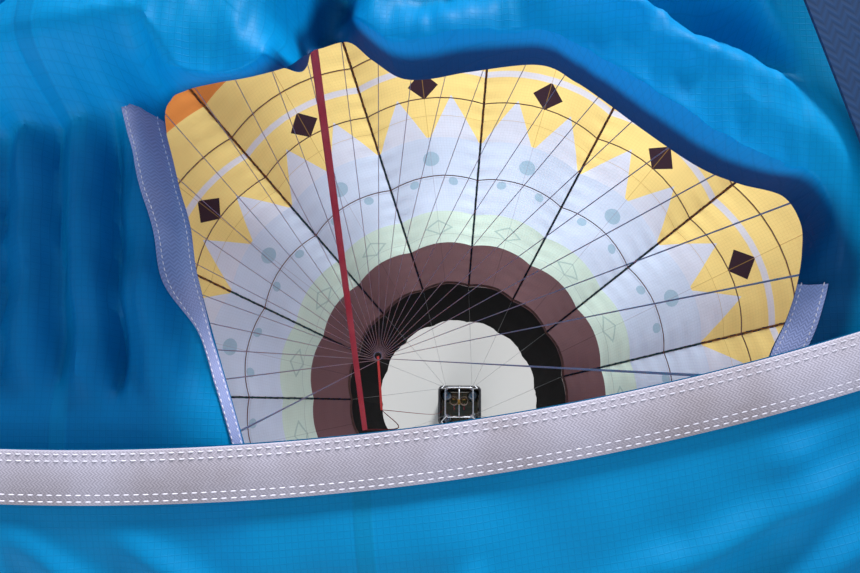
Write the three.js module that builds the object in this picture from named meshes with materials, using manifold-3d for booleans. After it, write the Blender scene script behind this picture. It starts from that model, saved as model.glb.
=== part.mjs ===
// Hot air balloon, upright and inflated, in millimetres, +Z up.
// The origin is on the envelope's axis at its widest plane, where the air holds the balloon up.
import * as THREE from 'three';
import { mergeVertices } from 'three/addons/utils/BufferGeometryUtils.js';
import Module from 'manifold-3d';

// Driving sizes. Heights are above the underside of the basket's runners.
const equatorHeight = 16750;
const equatorRadius = 8500;
const crownRise = 6500;
const lowerArcRadius = 10500;
const coneTopHeight = 10290;
const coneSlope = 0.781;
const mouthHeight = 5400;
const mouthRadius = 2450;
const ventRadius = 2080;
const skirtHeight = 3600;
const skirtRadius = 1950;
const fabricThickness = 10;
const gap = 0.3;

// Gores and their lobes: each gore bulges out between two load tapes.
const goreCount = 14;
const stepsPerGore = 4;
const lobeBulge = 0.028;
const lobeFadeHeight = 21300;
const firstTapeAngle = THREE.MathUtils.degToRad(-96.3);

// Webbing
const tapeHalfWidth = 25;
const tapeThickness = 3;
const tapeGap = 0.95;
const rimTapeWidth = 42;
const stepOverLength = 90;
const mouthTapeRise = 12;
const mouthTapeWidth = 50;
const crownRingInner = 105;
const crownRingOuter = 155;
const crownRingHeight = 24;
const crownRingSink = 6;

// Parachute vent, drawn in at one place on its edge
const parachuteRadius = 2330;
const parachuteDrop = 12;
const parachuteSeatMargin = 30;
const notchAngle = THREE.MathUtils.degToRad(-80.5);
const notchDepth = 575;
const notchFlatHalfAngle = THREE.MathUtils.degToRad(5.4);
const notchHalfAngle = THREE.MathUtils.degToRad(7.4);

// Load frame, gimbal and burners
const frameHeight = 2050;
const frameHalfX = 380;
const frameHalfY = 400;
const frameCorner = 90;
const frameTubeRadius = 19;
const lugSize = { length: 56, thickness: 14, height: 64 };
const lugCentreRise = 42;
const lugHoleRise = 48;
const lugHoleHalf = 13;
const socketLength = 46;
const socketWall = 7;
const gimbalBossRadius = 26;
const gimbalBossHalf = 24;
const gimbalTubeRadius = 16;
const crossPinRadius = 10;
const crossPinHalf = 52;
const pinClearance = 0.6;
const burnerSpacing = 270;
const deckLength = 440;
const deckWidth = 130;
const deckRise = 40;
const cheek = { clearance: 8, width: 30, depth: 70, height: 76, rise: 10 };
const valveBlock = { width: 120, depth: 150, height: 62, lap: 8 };
const valveLever = { width: 26, depth: 150, height: 12, drop: 20 };
const pilot = { radius: 16, reach: 42 };
const canRadius = 105;
const canHeight = 360;
const canBase = 2135;
const canWall = 3;
const canLip = { height: 12, reach: 5 };
const coil = { inner: 72, root: 81, crest: 87, turns: 5, pitch: 34 };
const canSides = 16;

// Basket
const basketHalfX = 600;
const basketHalfY = 550;
const basketCorner = 130;
const basketTaper = 35;
const wallThickness = 30;
const runnerHeight = 40;
const runnerLength = 1116;
const floorThickness = 18;
const wallTop = 1120;
const rimRadius = 32;
const hide = { gap: 0.5, thickness: 4, top: 215 };
const footHole = { depth: 160, width: 170, height: 120, middle: 420 };
const runnerWidth = 60;
const runnerSpacing = 330;
const uprightRadius = 17;
const uprightFootX = 520;
const uprightFootY = 470;
const uprightTopInset = 22;
const rimSocket = { wall: 9, above: 30, below: 34 };

// Fuel cylinder: its body, shoulder, guard collar and the tap inside the collar
const cylinder = { x: 385, y: 335, radius: 150, foot: 20, footRise: 40, bodyTop: 520, shoulderTop: 575 };
const collar = { outer: 98, inner: 92, top: 660 };
const tap = { radius: 26, top: 640 };

// Flying wires, the link that each set of them ends in, and the collar on it
const wireRadius = 4;
const link = { tube: 6, sides: 6, halfHeight: 34, halfWidth: 20, bendRise: 2.2 };
const wireCollar = { radius: 9, low: -4, wireFoot: 16, high: 26 };

const origin = new THREE.Vector3(0, 0, equatorHeight);
const part = new THREE.Group();
const wasm = await Module();
wasm.setup();

const materials = {
  heatBand: { color: 0x42363a, roughness: 0.9, metalness: 0 },
  mint: { color: 0xc4e0d9, roughness: 0.75, metalness: 0 },
  lavender: { color: 0xc9d6e8, roughness: 0.75, metalness: 0 },
  yellow: { color: 0xf3d384, roughness: 0.75, metalness: 0 },
  orange: { color: 0xee9a4d, roughness: 0.75, metalness: 0 },
  red: { color: 0xc4504a, roughness: 0.75, metalness: 0 },
  blue: { color: 0x0a85b8, roughness: 0.7, metalness: 0 },
  black: { color: 0x0e1013, roughness: 0.9, metalness: 0 },
  webbing: { color: 0xb4b2c0, roughness: 0.85, metalness: 0 },
  darkWebbing: { color: 0x5a4034, roughness: 0.85, metalness: 0 },
  steel: { color: 0xb9bdc2, roughness: 0.35, metalness: 0.9 },
  brass: { color: 0xb08a4a, roughness: 0.4, metalness: 0.9 },
  wicker: { color: 0x1b1917, roughness: 0.8, metalness: 0 },
  hide: { color: 0x171514, roughness: 0.7, metalness: 0 },
  wood: { color: 0xa98258, roughness: 0.75, metalness: 0 },
  cylinderPaint: { color: 0xa9adb1, roughness: 0.45, metalness: 0.6 },
};

// Mesh helpers

function signedVolume(geometry) {
  const position = geometry.getAttribute('position');
  const index = geometry.getIndex();
  const a = new THREE.Vector3();
  const b = new THREE.Vector3();
  const c = new THREE.Vector3();
  let volume = 0;
  for (let i = 0; i < index.count; i += 3) {
    a.fromBufferAttribute(position, index.getX(i));
    b.fromBufferAttribute(position, index.getX(i + 1));
    c.fromBufferAttribute(position, index.getX(i + 2));
    volume += a.dot(b.cross(c)) / 6;
  }
  return volume;
}

function meshGeometry(points, indices) {
  const geometry = new THREE.BufferGeometry();
  const values = points.flatMap((p) => [p.x, p.y, p.z]);
  geometry.setAttribute('position', new THREE.Float32BufferAttribute(values, 3));
  geometry.setIndex(indices);
  if (signedVolume(geometry) < 0) {
    for (let i = 0; i < indices.length; i += 3) {
      [indices[i + 1], indices[i + 2]] = [indices[i + 2], indices[i + 1]];
    }
    geometry.setIndex(indices);
  }
  return geometry;
}

// Joins equal-sized sections in order. A closed loft runs back to its first section;
// an open one gets an end cap from the triangles given for a section.
function loft(sections, capTriangles = null) {
  const size = sections[0].length;
  const indices = [];
  const spans = capTriangles ? sections.length - 1 : sections.length;
  for (let s = 0; s < spans; s += 1) {
    const next = (s + 1) % sections.length;
    for (let k = 0; k < size; k += 1) {
      const after = (k + 1) % size;
      const a = s * size + k;
      const b = s * size + after;
      const c = next * size + after;
      const d = next * size + k;
      indices.push(a, b, c, a, c, d);
    }
  }
  if (capTriangles) {
    const end = (sections.length - 1) * size;
    for (const [i, j, k] of capTriangles) {
      indices.push(i, k, j);
      indices.push(end + i, end + j, end + k);
    }
  }
  return meshGeometry(sections.flat(), indices);
}

function fan(size) {
  return Array.from({ length: size - 2 }, (unused, i) => [0, i + 1, i + 2]);
}

function solidOf(geometry) {
  const merged = geometry.clone();
  merged.deleteAttribute('normal');
  merged.deleteAttribute('uv');
  const welded = mergeVertices(merged, 1e-3);
  return new wasm.Manifold(new wasm.Mesh({
    numProp: 3,
    vertProperties: new Float32Array(welded.getAttribute('position').array),
    triVerts: new Uint32Array(welded.getIndex().array),
  }));
}

function geometryOf(solid) {
  const mesh = solid.getMesh();
  const geometry = new THREE.BufferGeometry();
  geometry.setAttribute('position', new THREE.BufferAttribute(mesh.vertProperties, 3));
  geometry.setIndex(new THREE.BufferAttribute(mesh.triVerts, 1));
  return geometry;
}

function union(geometries) {
  return geometryOf(geometries.map(solidOf).reduce((whole, piece) => whole.add(piece)));
}

function cut(geometry, tools) {
  return geometryOf(tools.map(solidOf).reduce((whole, tool) => whole.subtract(tool), solidOf(geometry)));
}

function addPart(name, geometry, material) {
  const mesh = new THREE.Mesh(geometry, new THREE.MeshStandardMaterial(materials[material]));
  mesh.name = name;
  mesh.position.copy(origin).negate();
  part.add(mesh);
}

// A prism between two points
function rod(start, end, radius, sides = 8) {
  const along = end.clone().sub(start).normalize();
  const helper = Math.abs(along.z) > 0.9 ? new THREE.Vector3(1, 0, 0) : new THREE.Vector3(0, 0, 1);
  const across = helper.cross(along).normalize();
  const third = along.clone().cross(across);
  const section = (centre) => Array.from({ length: sides }, (unused, i) => {
    const angle = (i + 0.5) * 2 * Math.PI / sides;
    return centre.clone()
      .addScaledVector(across, radius * Math.cos(angle))
      .addScaledVector(third, radius * Math.sin(angle));
  });
  return loft([section(start), section(end)], fan(sides));
}

function box(centre, size) {
  const geometry = new THREE.BoxGeometry(size.x, size.y, size.z);
  geometry.translate(centre.x, centre.y, centre.z);
  return geometry;
}

function vec(x, y, z) {
  return new THREE.Vector3(x, y, z);
}

// Points of a rounded rectangle with their outward normals
function roundedOutline(halfX, halfY, corner, cornerSteps) {
  const outline = [];
  for (let quarter = 0; quarter < 4; quarter += 1) {
    const signX = quarter === 0 || quarter === 3 ? 1 : -1;
    const signY = quarter < 2 ? 1 : -1;
    for (let i = 0; i <= cornerSteps; i += 1) {
      const angle = (quarter + i / cornerSteps) * Math.PI / 2;
      const normal = vec(Math.cos(angle), Math.sin(angle), 0);
      const centre = vec(signX * (halfX - corner), signY * (halfY - corner), 0);
      outline.push({ normal, point: centre.addScaledVector(normal, corner) });
    }
  }
  return outline;
}

// A closed ring round the axis whose section lies in the plane of each outline normal
function outlineRing(outlineAt, section) {
  const base = outlineAt(section[0].z);
  return loft(base.map((unused, i) => section.map(({ out, z }) => {
    const { normal, point } = outlineAt(z)[i];
    return point.clone().addScaledVector(normal, out).setZ(z);
  })));
}

// Envelope shape

function tapeLineRadius(height) {
  if (height <= coneTopHeight) {
    return mouthRadius + (height - mouthHeight) * coneSlope;
  }
  if (height <= equatorHeight) {
    const drop = equatorHeight - height;
    return equatorRadius - lowerArcRadius + Math.sqrt(lowerArcRadius ** 2 - drop ** 2);
  }
  return equatorRadius * Math.sqrt(1 - ((height - equatorHeight) / crownRise) ** 2);
}

function crownHeight(radius) {
  return equatorHeight + crownRise * Math.sqrt(1 - (radius / equatorRadius) ** 2);
}

const ventHeight = crownHeight(ventRadius);

// Outward direction of the meridian curve, as { r, z }
function meridianNormal(height) {
  const reach = 1;
  const low = Math.min(height, ventHeight - reach);
  const slope = (tapeLineRadius(low + reach) - tapeLineRadius(low)) / reach;
  const length = Math.hypot(1, slope);
  return { r: 1 / length, z: -slope / length };
}

// The cross-section of one gore is an arc through its two tapes, bulging by the given share.
function lobeFactor(phase, bulge) {
  if (bulge < 1e-6) {
    return 1;
  }
  const half = Math.PI / goreCount;
  const top = 1 + bulge;
  const centre = (top ** 2 - 1) / (2 * (top - Math.cos(half)));
  const radius = top - centre;
  const angle = (phase * 2 - 1) * half;
  return centre * Math.cos(angle) + Math.sqrt(radius ** 2 - (centre * Math.sin(angle)) ** 2);
}

function bulgeAt(height) {
  const fade = (ventHeight - height) / (ventHeight - lobeFadeHeight);
  return lobeBulge * THREE.MathUtils.clamp(fade, 0, 1);
}

function columnAngle(column) {
  return firstTapeAngle + column * 2 * Math.PI / (goreCount * stepsPerGore);
}

// A point on a column of the envelope, moved inwards by depth
function envelopePoint(height, column, depth) {
  const phase = THREE.MathUtils.euclideanModulo(column, stepsPerGore) / stepsPerGore;
  const normal = meridianNormal(height);
  const radius = tapeLineRadius(height) * lobeFactor(phase, bulgeAt(height)) - depth * normal.r;
  const angle = columnAngle(column);
  return vec(radius * Math.cos(angle), radius * Math.sin(angle), height - depth * normal.z);
}

const columnCount = goreCount * stepsPerGore;
const columns = Array.from({ length: columnCount }, (unused, i) => i);

function heightsBetween(low, high, rows) {
  return Array.from({ length: rows + 1 }, (unused, i) => low + (high - low) * i / rows);
}

// A ring of envelope between two depths below its outer surface
function envelopeRing(heights, outerDepth, innerDepth) {
  const rising = [...heights];
  const falling = [...heights].reverse();
  return loft(columns.map((column) => [
    ...rising.map((height) => envelopePoint(height, column, outerDepth)),
    ...falling.map((height) => envelopePoint(height, column, innerDepth)),
  ]));
}

// Bands of cloth from the mouth up, split at their horizontal seams
const bands = [
  { name: 'band_1_heat', low: mouthHeight, high: 6350, rows: 1, material: 'heatBand' },
  { name: 'band_2_mint', low: 6350, high: 7020, rows: 1, material: 'mint' },
  { name: 'band_3_lavender', low: 7020, high: 8440, rows: 1, material: 'lavender' },
  { name: 'band_4_yellow', low: 8440, high: 9990, rows: 1, material: 'yellow' },
  { name: 'band_5_orange', low: 9990, high: 13000, rows: 3, material: 'orange' },
  { name: 'band_6_red', low: 13000, high: 18200, rows: 5, material: 'red' },
  { name: 'band_7_crown', low: 18200, high: ventHeight, rows: 7, material: 'blue' },
];

// The crown's rows follow equal turns of its ellipse, and the last one starts at the parachute's edge.
function bandHeights({ low, high, rows }) {
  if (high < ventHeight) {
    return heightsBetween(low, high, rows);
  }
  const turnAt = (height) => Math.asin((height - equatorHeight) / crownRise);
  const lastLow = crownHeight(parachuteRadius + parachuteSeatMargin);
  const turns = heightsBetween(turnAt(low), turnAt(lastLow), rows - 1);
  return [...turns.map((turn) => equatorHeight + crownRise * Math.sin(turn)), ventHeight];
}

const tapeHeights = [];
for (const band of bands) {
  const heights = bandHeights(band);
  tapeHeights.push(...heights.slice(tapeHeights.length ? 1 : 0));
  const seamed = [...heights];
  seamed[0] += gap / 2;
  seamed[seamed.length - 1] -= gap / 2;
  addPart(band.name, envelopeRing(seamed, 0, fabricThickness), band.material);
}

// Skirt below the mouth, lobed like the lowest band
function skirtPoint(height, column, depth) {
  const share = (height - skirtHeight) / (mouthHeight - skirtHeight);
  const phase = (column % stepsPerGore) / stepsPerGore;
  const slope = (mouthRadius - skirtRadius) / (mouthHeight - skirtHeight);
  const length = Math.hypot(1, slope);
  const tapeLine = skirtRadius + (mouthRadius - skirtRadius) * share;
  const radius = tapeLine * lobeFactor(phase, lobeBulge) - depth / length;
  const angle = columnAngle(column);
  return vec(radius * Math.cos(angle), radius * Math.sin(angle), height);
}

const skirtTop = mouthHeight - gap;
addPart('skirt', loft(columns.map((column) => [
  skirtPoint(skirtHeight, column, 0),
  skirtPoint(skirtTop, column, 0),
  skirtPoint(skirtTop, column, fabricThickness),
  skirtPoint(skirtHeight, column, fabricThickness),
])), 'black');

// Webbing round the vent's edge, outside, and round the mouth's edge, inside
const rimTapeLow = crownHeight(ventRadius + rimTapeWidth);
const rimOuterDepth = -(tapeGap + tapeThickness);
addPart('vent_rim_tape', envelopeRing([rimTapeLow, ventHeight - gap], rimOuterDepth, -tapeGap), 'webbing');
const mouthTapeInner = fabricThickness + gap + tapeThickness;
const mouthTapeLow = mouthHeight + mouthTapeRise;
const mouthTapeHeights = [mouthTapeLow, mouthTapeLow + mouthTapeWidth];
addPart('mouth_tape', envelopeRing(mouthTapeHeights, fabricThickness + gap, mouthTapeInner), 'darkWebbing');

// Load tapes lie in the valleys between gores, step over the rim webbing and meet at the crown ring.
const crownRingMiddle = crownHeight(0) + tapeGap + tapeThickness;
const overVentRadii = [1500, 900, crownRingOuter + 2 * gap];
const stepTopRadius = ventRadius + rimTapeWidth + parachuteSeatMargin;
const stepOverHeight = crownHeight(stepTopRadius + stepOverLength);
const overRimDepth = rimOuterDepth - tapeGap;

function tapeSection(centre, left, right, lift) {
  const reach = (side) => side.clone().sub(centre).setLength(tapeHalfWidth).add(centre);
  const under = [reach(left), centre, reach(right)];
  const over = under.map((point) => point.clone().add(lift));
  return [...under, ...over.reverse()];
}

const tapeCap = [[0, 1, 4], [0, 4, 5], [1, 2, 3], [1, 3, 4]];

function loadTape(number) {
  const middle = number * stepsPerGore;
  const angle = columnAngle(middle);
  const sectionAt = (height, depth) => {
    const normal = meridianNormal(height);
    const lift = vec(normal.r * Math.cos(angle), normal.r * Math.sin(angle), normal.z);
    return tapeSection(
      envelopePoint(height, middle, depth),
      envelopePoint(height, middle - 1, depth),
      envelopePoint(height, middle + 1, depth),
      lift.multiplyScalar(tapeThickness),
    );
  };
  const below = tapeHeights.filter((height) => height < stepOverHeight);
  const sections = below.map((height) => sectionAt(height, -tapeGap));
  sections.push(sectionAt(stepOverHeight, -tapeGap));
  sections.push(sectionAt(crownHeight(stepTopRadius), overRimDepth));
  sections.push(sectionAt(ventHeight - gap, overRimDepth));
  const across = vec(-Math.sin(angle), Math.cos(angle), 0);
  for (const radius of overVentRadii) {
    const height = crownHeight(radius) - overRimDepth;
    const centre = vec(radius * Math.cos(angle), radius * Math.sin(angle), height);
    sections.push(tapeSection(
      centre,
      centre.clone().sub(across),
      centre.clone().add(across),
      vec(0, 0, tapeThickness),
    ));
  }
  return loft(sections, tapeCap);
}

for (let number = 0; number < goreCount; number += 1) {
  const name = `load_tape_${String(number + 1).padStart(2, '0')}`;
  addPart(name, loadTape(number), 'webbing');
}

// Crown ring, a flat metal ring that the load tapes are sewn round
function revolve(profile, segments) {
  const geometry = new THREE.LatheGeometry(profile.map(([r, z]) => new THREE.Vector2(r, z)), segments);
  geometry.rotateX(Math.PI / 2);
  return geometry;
}

const crownRingLow = crownRingMiddle - crownRingSink;
const crownRing = revolve([
  [crownRingInner, crownRingLow],
  [crownRingOuter, crownRingLow],
  [crownRingOuter, crownRingLow + crownRingHeight],
  [crownRingInner, crownRingLow + crownRingHeight],
  [crownRingInner, crownRingLow],
], 2 * goreCount);
crownRing.rotateZ(firstTapeAngle);
addPart('crown_ring', crownRing, 'steel');

// Parachute vent: a dome of cloth just under the crown, with its edge drawn in at the notch
const parachuteColumns = 56;
const parachuteRadii = [300, 700, 1100, 1450, 1750, 2000, parachuteRadius];

function parachuteEdge(angle) {
  const off = Math.abs(THREE.MathUtils.euclideanModulo(angle - notchAngle + Math.PI, 2 * Math.PI) - Math.PI);
  const drawnIn = 1 - THREE.MathUtils.smoothstep(off, notchFlatHalfAngle, notchHalfAngle);
  return parachuteRadius - notchDepth * drawnIn;
}

// Columns crowd round the notch.
function parachuteAngle(column) {
  const u = (2 * column) / parachuteColumns - 1;
  return notchAngle + Math.PI * (0.2 * u + 0.8 * u ** 3);
}

function parachutePoint(radius, angle, drop) {
  const reach = radius * parachuteEdge(angle) / parachuteRadius;
  return vec(reach * Math.cos(angle), reach * Math.sin(angle), crownHeight(reach) - parachuteDrop - drop);
}

function parachuteGeometry() {
  const points = [];
  const indices = [];
  const rings = parachuteRadii.length;
  for (const drop of [0, fabricThickness]) {
    points.push(parachutePoint(0, 0, drop));
    for (const radius of parachuteRadii) {
      for (let column = 0; column < parachuteColumns; column += 1) {
        points.push(parachutePoint(radius, parachuteAngle(column), drop));
      }
    }
  }
  const layer = 1 + rings * parachuteColumns;
  const at = (side, ring, column) => side * layer + 1 + ring * parachuteColumns + (column % parachuteColumns);
  const face = (side, a, b, c) => indices.push(...(side === 0 ? [a, b, c] : [a, c, b]));
  for (let column = 0; column < parachuteColumns; column += 1) {
    for (const side of [0, 1]) {
      face(side, side * layer, at(side, 0, column), at(side, 0, column + 1));
      for (let ring = 1; ring < rings; ring += 1) {
        const inner = [at(side, ring - 1, column), at(side, ring - 1, column + 1)];
        const outer = [at(side, ring, column), at(side, ring, column + 1)];
        face(side, inner[0], outer[0], outer[1]);
        face(side, inner[0], outer[1], inner[1]);
      }
    }
    const top = [at(0, rings - 1, column), at(0, rings - 1, column + 1)];
    const bottom = [at(1, rings - 1, column), at(1, rings - 1, column + 1)];
    indices.push(top[0], bottom[0], bottom[1], top[0], bottom[1], top[1]);
  }
  return meshGeometry(points, indices);
}

addPart('parachute_vent', parachuteGeometry(), 'blue');

// Load frame: a bent tube with four corner lugs, four sockets for the uprights and two gimbal bosses
function tubeSection(radius, sides) {
  return Array.from({ length: sides }, (unused, i) => {
    const angle = (i + 0.5) * 2 * Math.PI / sides;
    return { out: radius * Math.cos(angle), z: radius * Math.sin(angle) };
  });
}

const corners = [
  { number: 1, x: 1, y: 1 },
  { number: 2, x: -1, y: 1 },
  { number: 3, x: -1, y: -1 },
  { number: 4, x: 1, y: -1 },
];
const lugInset = frameCorner * (1 - Math.SQRT1_2);
const lugX = frameHalfX - lugInset;
const lugY = frameHalfY - lugInset;
const lugHoleCentre = frameHeight + lugHoleRise;

function lugTurn({ x, y }) {
  return Math.atan2(y * lugY, x * lugX);
}

// Upright axis: from the basket rim's corner to the frame's corner
const uprightFoot = ({ x, y }) => vec(x * uprightFootX, y * uprightFootY, wallTop + 2 * rimRadius + gap);
const uprightHead = ({ x, y }) => vec(x * (lugX - uprightTopInset), y * (lugY - uprightTopInset), frameHeight);

function uprightPoint(corner, fromHead) {
  const along = uprightFoot(corner).sub(uprightHead(corner)).normalize();
  return uprightHead(corner).addScaledVector(along, fromHead);
}

function turnedBox(centre, size, turn) {
  const geometry = new THREE.BoxGeometry(size.x, size.y, size.z);
  geometry.rotateZ(turn);
  geometry.translate(centre.x, centre.y, centre.z);
  return geometry;
}

function loadFrameGeometry() {
  const outline = roundedOutline(frameHalfX, frameHalfY, frameCorner, 4);
  const section = tubeSection(frameTubeRadius, 8).map(({ out, z }) => ({ out, z: z + frameHeight }));
  const pieces = [outlineRing(() => outline, section)];
  const holes = [];
  for (const corner of corners) {
    const centre = vec(corner.x * lugX, corner.y * lugY, frameHeight + lugCentreRise);
    const plate = vec(lugSize.length, lugSize.thickness, lugSize.height);
    pieces.push(turnedBox(centre, plate, lugTurn(corner)));
    holes.push(turnedBox(
      centre.clone().setZ(lugHoleCentre),
      vec(2 * lugHoleHalf, 3 * lugSize.thickness, 2 * lugHoleHalf),
      lugTurn(corner),
    ));
    pieces.push(rod(uprightPoint(corner, 0), uprightPoint(corner, socketLength), uprightRadius + socketWall, 12));
  }
  for (const side of [1, -1]) {
    const middle = side * frameHalfY;
    pieces.push(rod(
      vec(0, middle - gimbalBossHalf, frameHeight),
      vec(0, middle + gimbalBossHalf, frameHeight),
      gimbalBossRadius,
      16,
    ));
    holes.push(rod(
      vec(0, middle - 2 * gimbalBossHalf, frameHeight),
      vec(0, middle + 2 * gimbalBossHalf, frameHeight),
      crossPinRadius + pinClearance,
      24,
    ));
  }
  return cut(union(pieces), holes);
}

addPart('load_frame', loadFrameGeometry(), 'steel');

// Gimbal bar along Y: its end pins turn in the frame's bosses, and a pin across it carries the burners.
const gimbalShoulder = frameHalfY - gimbalBossHalf - gap;
addPart('gimbal_bar', union([
  rod(vec(0, -gimbalShoulder, frameHeight), vec(0, gimbalShoulder, frameHeight), gimbalTubeRadius, 12),
  rod(
    vec(0, -frameHalfY - gimbalBossHalf, frameHeight),
    vec(0, frameHalfY + gimbalBossHalf, frameHeight),
    crossPinRadius,
    24,
  ),
  rod(vec(-crossPinHalf, 0, frameHeight), vec(crossPinHalf, 0, frameHeight), crossPinRadius, 24),
]), 'steel');

// Burner block: two cheeks on the cross pin, joined over the bar by the deck that the burners stand on.
// Under the deck hang a valve block, a blast lever and a pilot valve for each burner.
const cheekInner = gimbalTubeRadius + cheek.clearance;
const deckLow = frameHeight + deckRise;
const deckHeight = canBase - gap - deckLow;

function burnerBlockGeometry() {
  const pieces = [box(vec(0, 0, deckLow + deckHeight / 2), vec(deckLength, deckWidth, deckHeight))];
  const holes = [];
  for (const side of [1, -1]) {
    const middle = side * (cheekInner + cheek.width / 2);
    pieces.push(box(vec(middle, 0, frameHeight + cheek.rise), vec(cheek.width, cheek.depth, cheek.height)));
    holes.push(rod(
      vec(side * (cheekInner - cheek.clearance / 2), 0, frameHeight),
      vec(side * (cheekInner + cheek.width + cheek.clearance / 2), 0, frameHeight),
      crossPinRadius + pinClearance,
      24,
    ));
    const valveX = side * burnerSpacing / 2;
    const valveHeight = deckLow + valveBlock.lap - valveBlock.height / 2;
    pieces.push(box(vec(valveX, 0, valveHeight), vec(valveBlock.width, valveBlock.depth, valveBlock.height)));
    const leverY = -(valveBlock.depth + valveLever.depth) / 2 + valveBlock.lap;
    const lever = vec(valveLever.width, valveLever.depth, valveLever.height);
    pieces.push(box(vec(valveX, leverY, valveHeight - valveLever.drop), lever));
    const pilotX = side * (deckLength / 2 - 2 * pilot.radius);
    pieces.push(rod(
      vec(pilotX, 0, deckLow - pilot.reach),
      vec(pilotX, 0, deckLow + valveBlock.lap),
      pilot.radius,
      12,
    ));
  }
  return cut(union(pieces), holes);
}

addPart('burner_block', burnerBlockGeometry(), 'brass');

// Burner cans: open steel tubes with a rolled lip, each round its vaporiser coil
function canGeometry() {
  const top = canBase + canHeight;
  return revolve([
    [canRadius - canWall, canBase],
    [canRadius, canBase],
    [canRadius, top - canLip.height],
    [canRadius + canLip.reach, top],
    [canRadius - canWall, top],
    [canRadius - canWall, canBase],
  ], canSides);
}

// The coil's turns touch, so they are one ribbed sleeve.
function coilGeometry() {
  const outside = [];
  for (let turn = 0; turn < coil.turns; turn += 1) {
    const low = canBase + turn * coil.pitch;
    outside.push([coil.root, low], [coil.crest, low + coil.pitch / 2]);
  }
  const top = canBase + coil.turns * coil.pitch;
  outside.push([coil.root, top], [coil.inner, top]);
  return revolve([[coil.inner, canBase], ...outside, [coil.inner, canBase]], canSides);
}

for (const [side, sign] of [['left', -1], ['right', 1]]) {
  const can = canGeometry();
  can.translate(sign * burnerSpacing / 2, 0, 0);
  addPart(`burner_can_${side}`, can, 'steel');
  const sleeve = coilGeometry();
  sleeve.translate(sign * burnerSpacing / 2, 0, 0);
  addPart(`burner_coil_${side}`, sleeve, 'steel');
}

// Uprights between the basket and the load frame, each ending square against a socket
for (const corner of corners) {
  const length = uprightHead(corner).distanceTo(uprightFoot(corner));
  const top = uprightPoint(corner, socketLength + gap);
  const bottom = uprightPoint(corner, length - rimSocket.above - gap);
  addPart(`upright_${corner.number}`, rod(top, bottom, uprightRadius, 12), 'black');
}

// Basket, tapering a little towards its floor
function basketOutline(height) {
  const share = THREE.MathUtils.clamp((wallTop - height) / wallTop, 0, 1);
  const inset = basketTaper * share;
  return roundedOutline(basketHalfX - inset, basketHalfY - inset, basketCorner, 4);
}

const floorTop = runnerHeight + gap + floorThickness;
const wallLow = runnerHeight + gap;
function wallGeometry() {
  const wall = outlineRing(basketOutline, [
    { out: 0, z: wallLow },
    { out: 0, z: wallTop },
    { out: -wallThickness, z: wallTop },
    { out: -wallThickness, z: wallLow },
  ]);
  const hole = vec(footHole.depth, footHole.width, footHole.height);
  return cut(wall, [1, -1].map((side) => box(vec(side * basketHalfX, 0, footHole.middle), hole)));
}

addPart('basket_wicker', wallGeometry(), 'wicker');

const floorOutline = basketOutline(runnerHeight).map(({ normal, point }) => (
  point.clone().addScaledVector(normal, -wallThickness - 2 * gap)
));
addPart('basket_floor', loft([
  floorOutline.map((point) => point.clone().setZ(wallLow)),
  floorOutline.map((point) => point.clone().setZ(floorTop)),
], fan(floorOutline.length)), 'wood');

// Padded rim with four corner sockets for the uprights
function rimGeometry() {
  const top = basketOutline(wallTop);
  const middle = wallTop + gap + rimRadius;
  const section = tubeSection(rimRadius / Math.cos(Math.PI / 8), 8)
    .map(({ out, z }) => ({ out: out - wallThickness / 2, z: z + middle }));
  const pieces = [outlineRing(() => top, section)];
  for (const corner of corners) {
    const length = uprightHead(corner).distanceTo(uprightFoot(corner));
    pieces.push(rod(
      uprightPoint(corner, length - rimSocket.above),
      uprightPoint(corner, length + rimSocket.below),
      uprightRadius + rimSocket.wall,
      12,
    ));
  }
  return union(pieces);
}

addPart('basket_rim', rimGeometry(), 'hide');

// Hide sewn round the foot of the basket
addPart('basket_hide', outlineRing(basketOutline, [
  { out: hide.gap, z: wallLow },
  { out: hide.thickness, z: wallLow },
  { out: hide.thickness, z: hide.top },
  { out: hide.gap, z: hide.top },
]), 'hide');

for (const [number, place] of [[1, -1], [2, 0], [3, 1]]) {
  const centre = vec(0, place * runnerSpacing, runnerHeight / 2);
  addPart(`runner_${number}`, box(centre, vec(runnerLength, runnerWidth, runnerHeight)), 'wood');
}

// Fuel cylinders stand in the basket's corners.
const cylinderProfile = [
  [0, 0],
  [cylinder.radius - cylinder.foot, 0],
  [cylinder.radius, cylinder.footRise],
  [cylinder.radius, cylinder.bodyTop],
  [collar.outer, cylinder.shoulderTop],
  [collar.outer, collar.top],
  [collar.inner, collar.top],
  [collar.inner, cylinder.shoulderTop],
  [tap.radius, cylinder.shoulderTop],
  [tap.radius, tap.top],
  [0, tap.top],
];
for (const corner of corners) {
  const body = revolve(cylinderProfile, 20);
  body.translate(corner.x * cylinder.x, corner.y * cylinder.y, floorTop + gap);
  addPart(`cylinder_${corner.number}`, body, 'cylinderPaint');
}

// Flying wires: those of one corner meet in a link that hangs in the frame's lug.
const wireSets = [
  { corner: corners[0], tapes: [5, 6, 7] },
  { corner: corners[1], tapes: [8, 9, 10, 11] },
  { corner: corners[2], tapes: [12, 13, 0] },
  { corner: corners[3], tapes: [1, 2, 3, 4] },
];

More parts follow.
